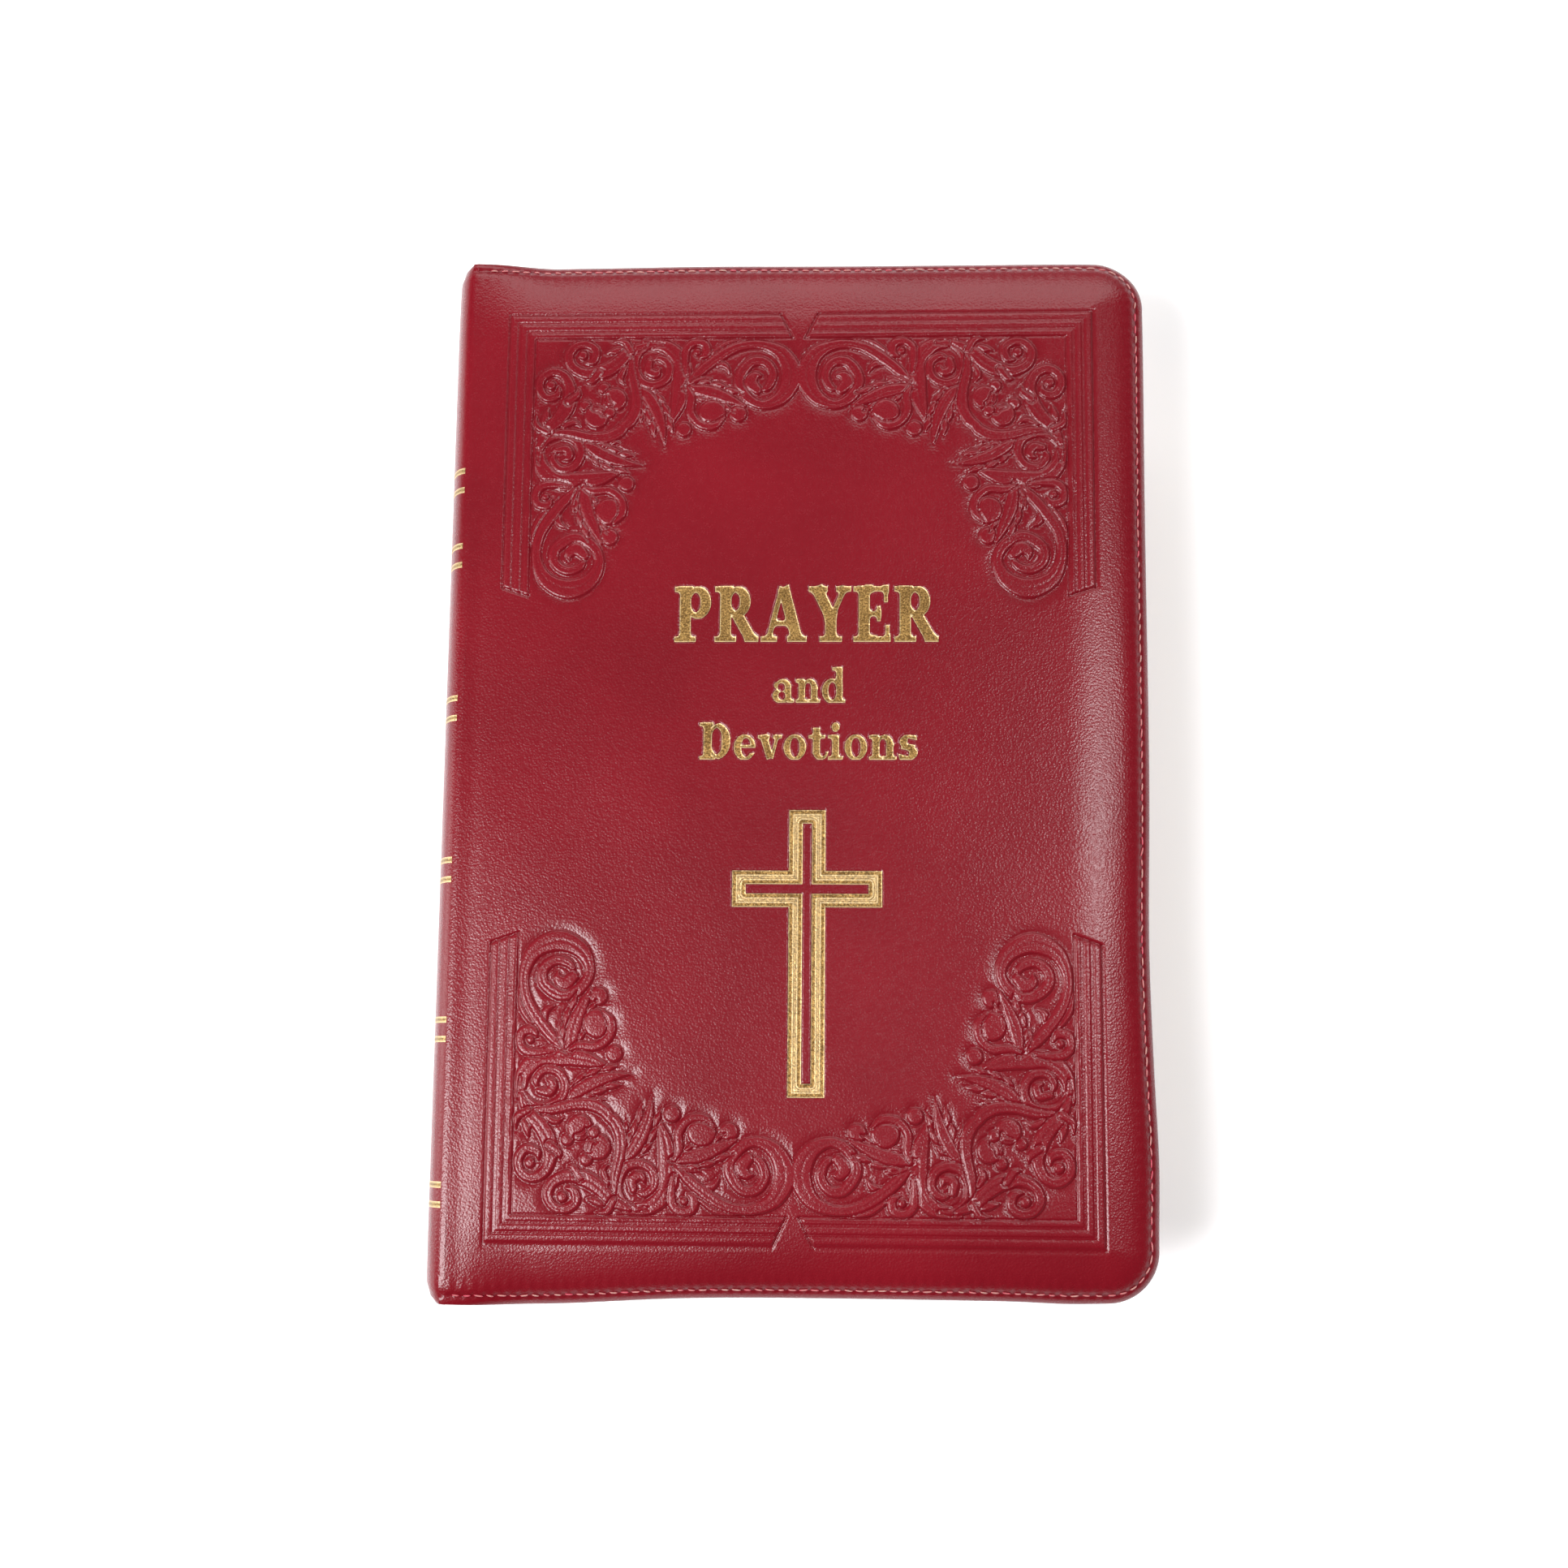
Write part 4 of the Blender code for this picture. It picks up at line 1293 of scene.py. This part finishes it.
def leaves(name, finishes, levels=3):
    """A bundle of leaves that is sewn in at the spine."""
    low, high = node_box(name)
    outline = page_outline(low[0], high[0], LEAF_GUTTER)
    loose = outline[:, 0] > low[0] + 30
    rng = np.random.default_rng(sum(ord(letter) for letter in name))
    rings = []
    for z in np.linspace(low[2], high[2], levels):
        uneven = 0.06 * rng.standard_normal() * loose
        rings.append(np.column_stack([outline[:, 0] + uneven, outline[:, 1], np.full(len(outline), z)]))
    faces, slots = page_faces(levels, len(outline))
    piece = make_mesh(name + "_pages", np.stack(rings), faces, finishes, None, slots)
    piece.data.set_sharp_from_angle(angle=math.radians(50))
    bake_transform(piece)
    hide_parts(name)
    return piece


def page_block(finishes):
    """The sewn sections: rounded back, hollow fore-edge and hundreds of leaf edges."""
    levels = 200
    rng = np.random.default_rng(11)
    drift = np.cumsum(rng.standard_normal(levels)) * 0.02
    drift -= np.linspace(drift[0], drift[-1], levels)
    rings = []
    for z, wander in zip(np.linspace(BLOCK_LOW_Z, BLOCK_HIGH_Z, levels), drift):
        notch = 1 - abs(math.sin(math.pi * (z - BLOCK_LOW_Z) / SECTION_PITCH)) ** 0.35
        fore_x = FORE_X - FORE_GAP - FORE_HOLLOW * crown(z) + wander
        fore_x += 0.05 * rng.standard_normal() - 0.12 * notch
        spine_x = HINGE_X + BACK_GAP - BACK_ROUND * crown(z) + 0.3 * notch
        ring = page_outline(spine_x, fore_x, BLOCK_GUTTER)
        ring[:, 1] *= 1 - 0.0007 * notch - 0.0002 * rng.random()
        rings.append(np.column_stack([ring, np.full(len(ring), z)]))
    points = np.stack(rings)
    faces, slots = page_faces(levels, points.shape[1])
    piece = make_mesh("page_block", points, faces, finishes, None, slots)
    piece.data.set_sharp_from_angle(angle=math.radians(60))
    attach(piece, "text_block")
    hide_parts(*[f"sewn_sections_{number}" for number in range(1, 7)])
    return piece


def inner_joint(name, side, finish):
    """The paper hinge between a cover's lining and the page block, a sheet with two faces."""
    low, high = node_box(("front" if side > 0 else "back") + "_cover_lining")
    cover_z = (low[2] if side > 0 else high[2]) - 0.05 * side
    run = np.linspace(HINGE_X + 0.3, HINGE_X + 6.0, 15)
    x, y = np.meshgrid(run, np.linspace(-high[1] + 0.4, high[1] - 0.4, 9))
    sag = 0.036 * side * np.sin(math.pi * (x - run[0]) / (run[-1] - run[0]))
    sheets = [np.stack([x, y, cover_z - offset * side - sag], -1) for offset in (0.0, HINGE_PAPER)]
    faces = grid_faces(*x.shape)
    both = np.concatenate([faces[:, ::side], faces[:, ::-side] + x.size])
    piece = make_mesh(name, np.stack(sheets), both, [finish])
    (HINGE_X + 0.3) * MM
    (HINGE_X + 5.0) * MM
    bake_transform(piece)
    return piece


# ---------------------------------------------------------------- scene


# Each soft light has a place, what it is aimed at, its two sides, its power and its colour.
LIGHTS = {
    "left_soft_light": ((-0.49, -0.25, 0.93), (0, 0, 0), (0.36, 0.44), 12.5, ROSY_LIGHT),
    "right_soft_light": ((0.42, 0.09, 0.90), (0, 0, 0), (0.09, 0.30), 3.6, ROSY_LIGHT),
    "low_left_light": ((-1.3, 0.0, 0.4), (-0.05, 0, 0), (0.35, 1.2), 7, WHITE_LIGHT),
    "back_soft_light": ((0.1, 0.95, 0.80), (0, 0, 0), (1.3, 0.55), 8, WHITE_LIGHT),
}


def soft_light(name, place, aim, size, power, colour):
    """A rectangle of light that is aimed at a place."""
    data = bpy.data.lights.new(name, "AREA")
    data.shape = "RECTANGLE"
    data.size, data.size_y = size
    data.energy = power
    data.color = colour
    light = bpy.data.objects.new(name, data)
    light.location = place
    way = Vector(aim) - Vector(place)
    light.rotation_euler = way.to_track_quat("-Z", "Y").to_euler()
    bpy.context.scene.collection.objects.link(light)


def studio():
    """A wide white table, bright walls, a dark ceiling and four soft lights."""
    bpy.ops.mesh.primitive_circle_add(vertices=96, radius=FLOOR_RADIUS, fill_type="NGON")
    floor = bpy.context.object
    floor.name = "table"
    floor.data.materials.append(floor_finish())
    world = bpy.data.worlds.new("studio")
    bpy.context.scene.world = world
    walls = Finish(world, "Background", Strength=1.0)
    way = walls.node("TexCoord", {}, {}, "Generated")
    height = walls.node("SeparateXYZ", {}, {0: way}, "Z")
    shades = [(0.0, (1.0, 1.0, 1.02)), (0.38, (0.0, 0.0, 0.0))]
    walls.set(Color=walls.node("ValToRGB", {"stops": shades}, {0: height}))
    for name, settings in LIGHTS.items():
        soft_light(name, *settings)
    view = bpy.context.scene.view_settings
    view.view_transform = "Standard"
    view.look = "None"


def add_camera():
    """Almost straight above the tail half of the book, leaning towards its head."""
    forward = Vector(CAMERA_WAY).normalized()
    right = forward.cross(Vector(CAMERA_HEAD)).normalized()
    up = right.cross(forward)
    camera_data = bpy.data.cameras.new("camera")
    camera_data.sensor_width = 36.0
    camera_data.lens = LENS
    camera = bpy.data.objects.new("camera", camera_data)
    turned = Matrix((right, up, -forward)).transposed().to_4x4()
    camera.matrix_world = Matrix.Translation(Vector(CAMERA_PLACE)) @ turned
    bpy.context.scene.collection.objects.link(camera)
    bpy.context.scene.camera = camera


def repaint(material, *names):
    """Gives CAD pieces that are shown as they are a finish."""
    for name in names:
        node = frame["nodes"][name]
        node.data.materials.clear()
        node.data.materials.append(material)


def build():
    """Every piece of the book, in its studio."""
    add_camera()
    studio()
    hide = leather_finish("crimson leather", *CRIMSON)
    lining = leather_finish("lining leather", *LINING_RED)
    gold = foil_finish("gold foil")
    thread = thread_finish()
    edges = page_edge_finish()
    paper = paper_finish("thin page paper", PAGE_CREAM, printed=True)
    endpaper = paper_finish("endpaper", ENDPAPER_CREAM, printed=False)

    stamp = corner_stamp()
    cover_leather("front_cover_leather", 1, TOP_Z, hide, stamp)
    cover_leather("back_cover_leather", -1, 0.0, hide)
    stitches("front_edge_thread", "front_cover", 1, TOP_Z, thread)
    stitches("back_edge_thread", "back_cover", -1, 0.0, thread)
    foil_piece("title_foil", title_away, *TITLE_BOX, gold)
    cross = foil_piece("cross_foil_stamped", cross_away, (CROSS_X - CROSS_HALF_SPAN, CROSS_FOOT),
                       (CROSS_X + CROSS_HALF_SPAN, CROSS_TOP), gold, fluted=True)
    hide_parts("cross_foil")
    spine_leather(hide)
    spine_rules(gold)
    spine_ornaments(gold)

    page_block([paper, edges])
    for number in range(1, 6):
        leaves(f"leaf_group_{number}", [paper, edges], 8)
    leaves("front_flyleaf", [endpaper, edges])
    leaves("back_flyleaf", [endpaper, edges])
    inner_joint("front_paper_hinge", 1, endpaper)
    inner_joint("back_paper_hinge", -1, endpaper)
    repaint(lining, "front_cover_lining", "back_cover_lining")
    repaint(board_finish(), "front_cover_board", "back_cover_board", "spine_card")
    repaint(linen_finish(), "sewing_tape_1", "sewing_tape_2", "sewing_tape_3", "spine_mull")
    repaint(band_finish(), "head_band", "tail_band")


build()
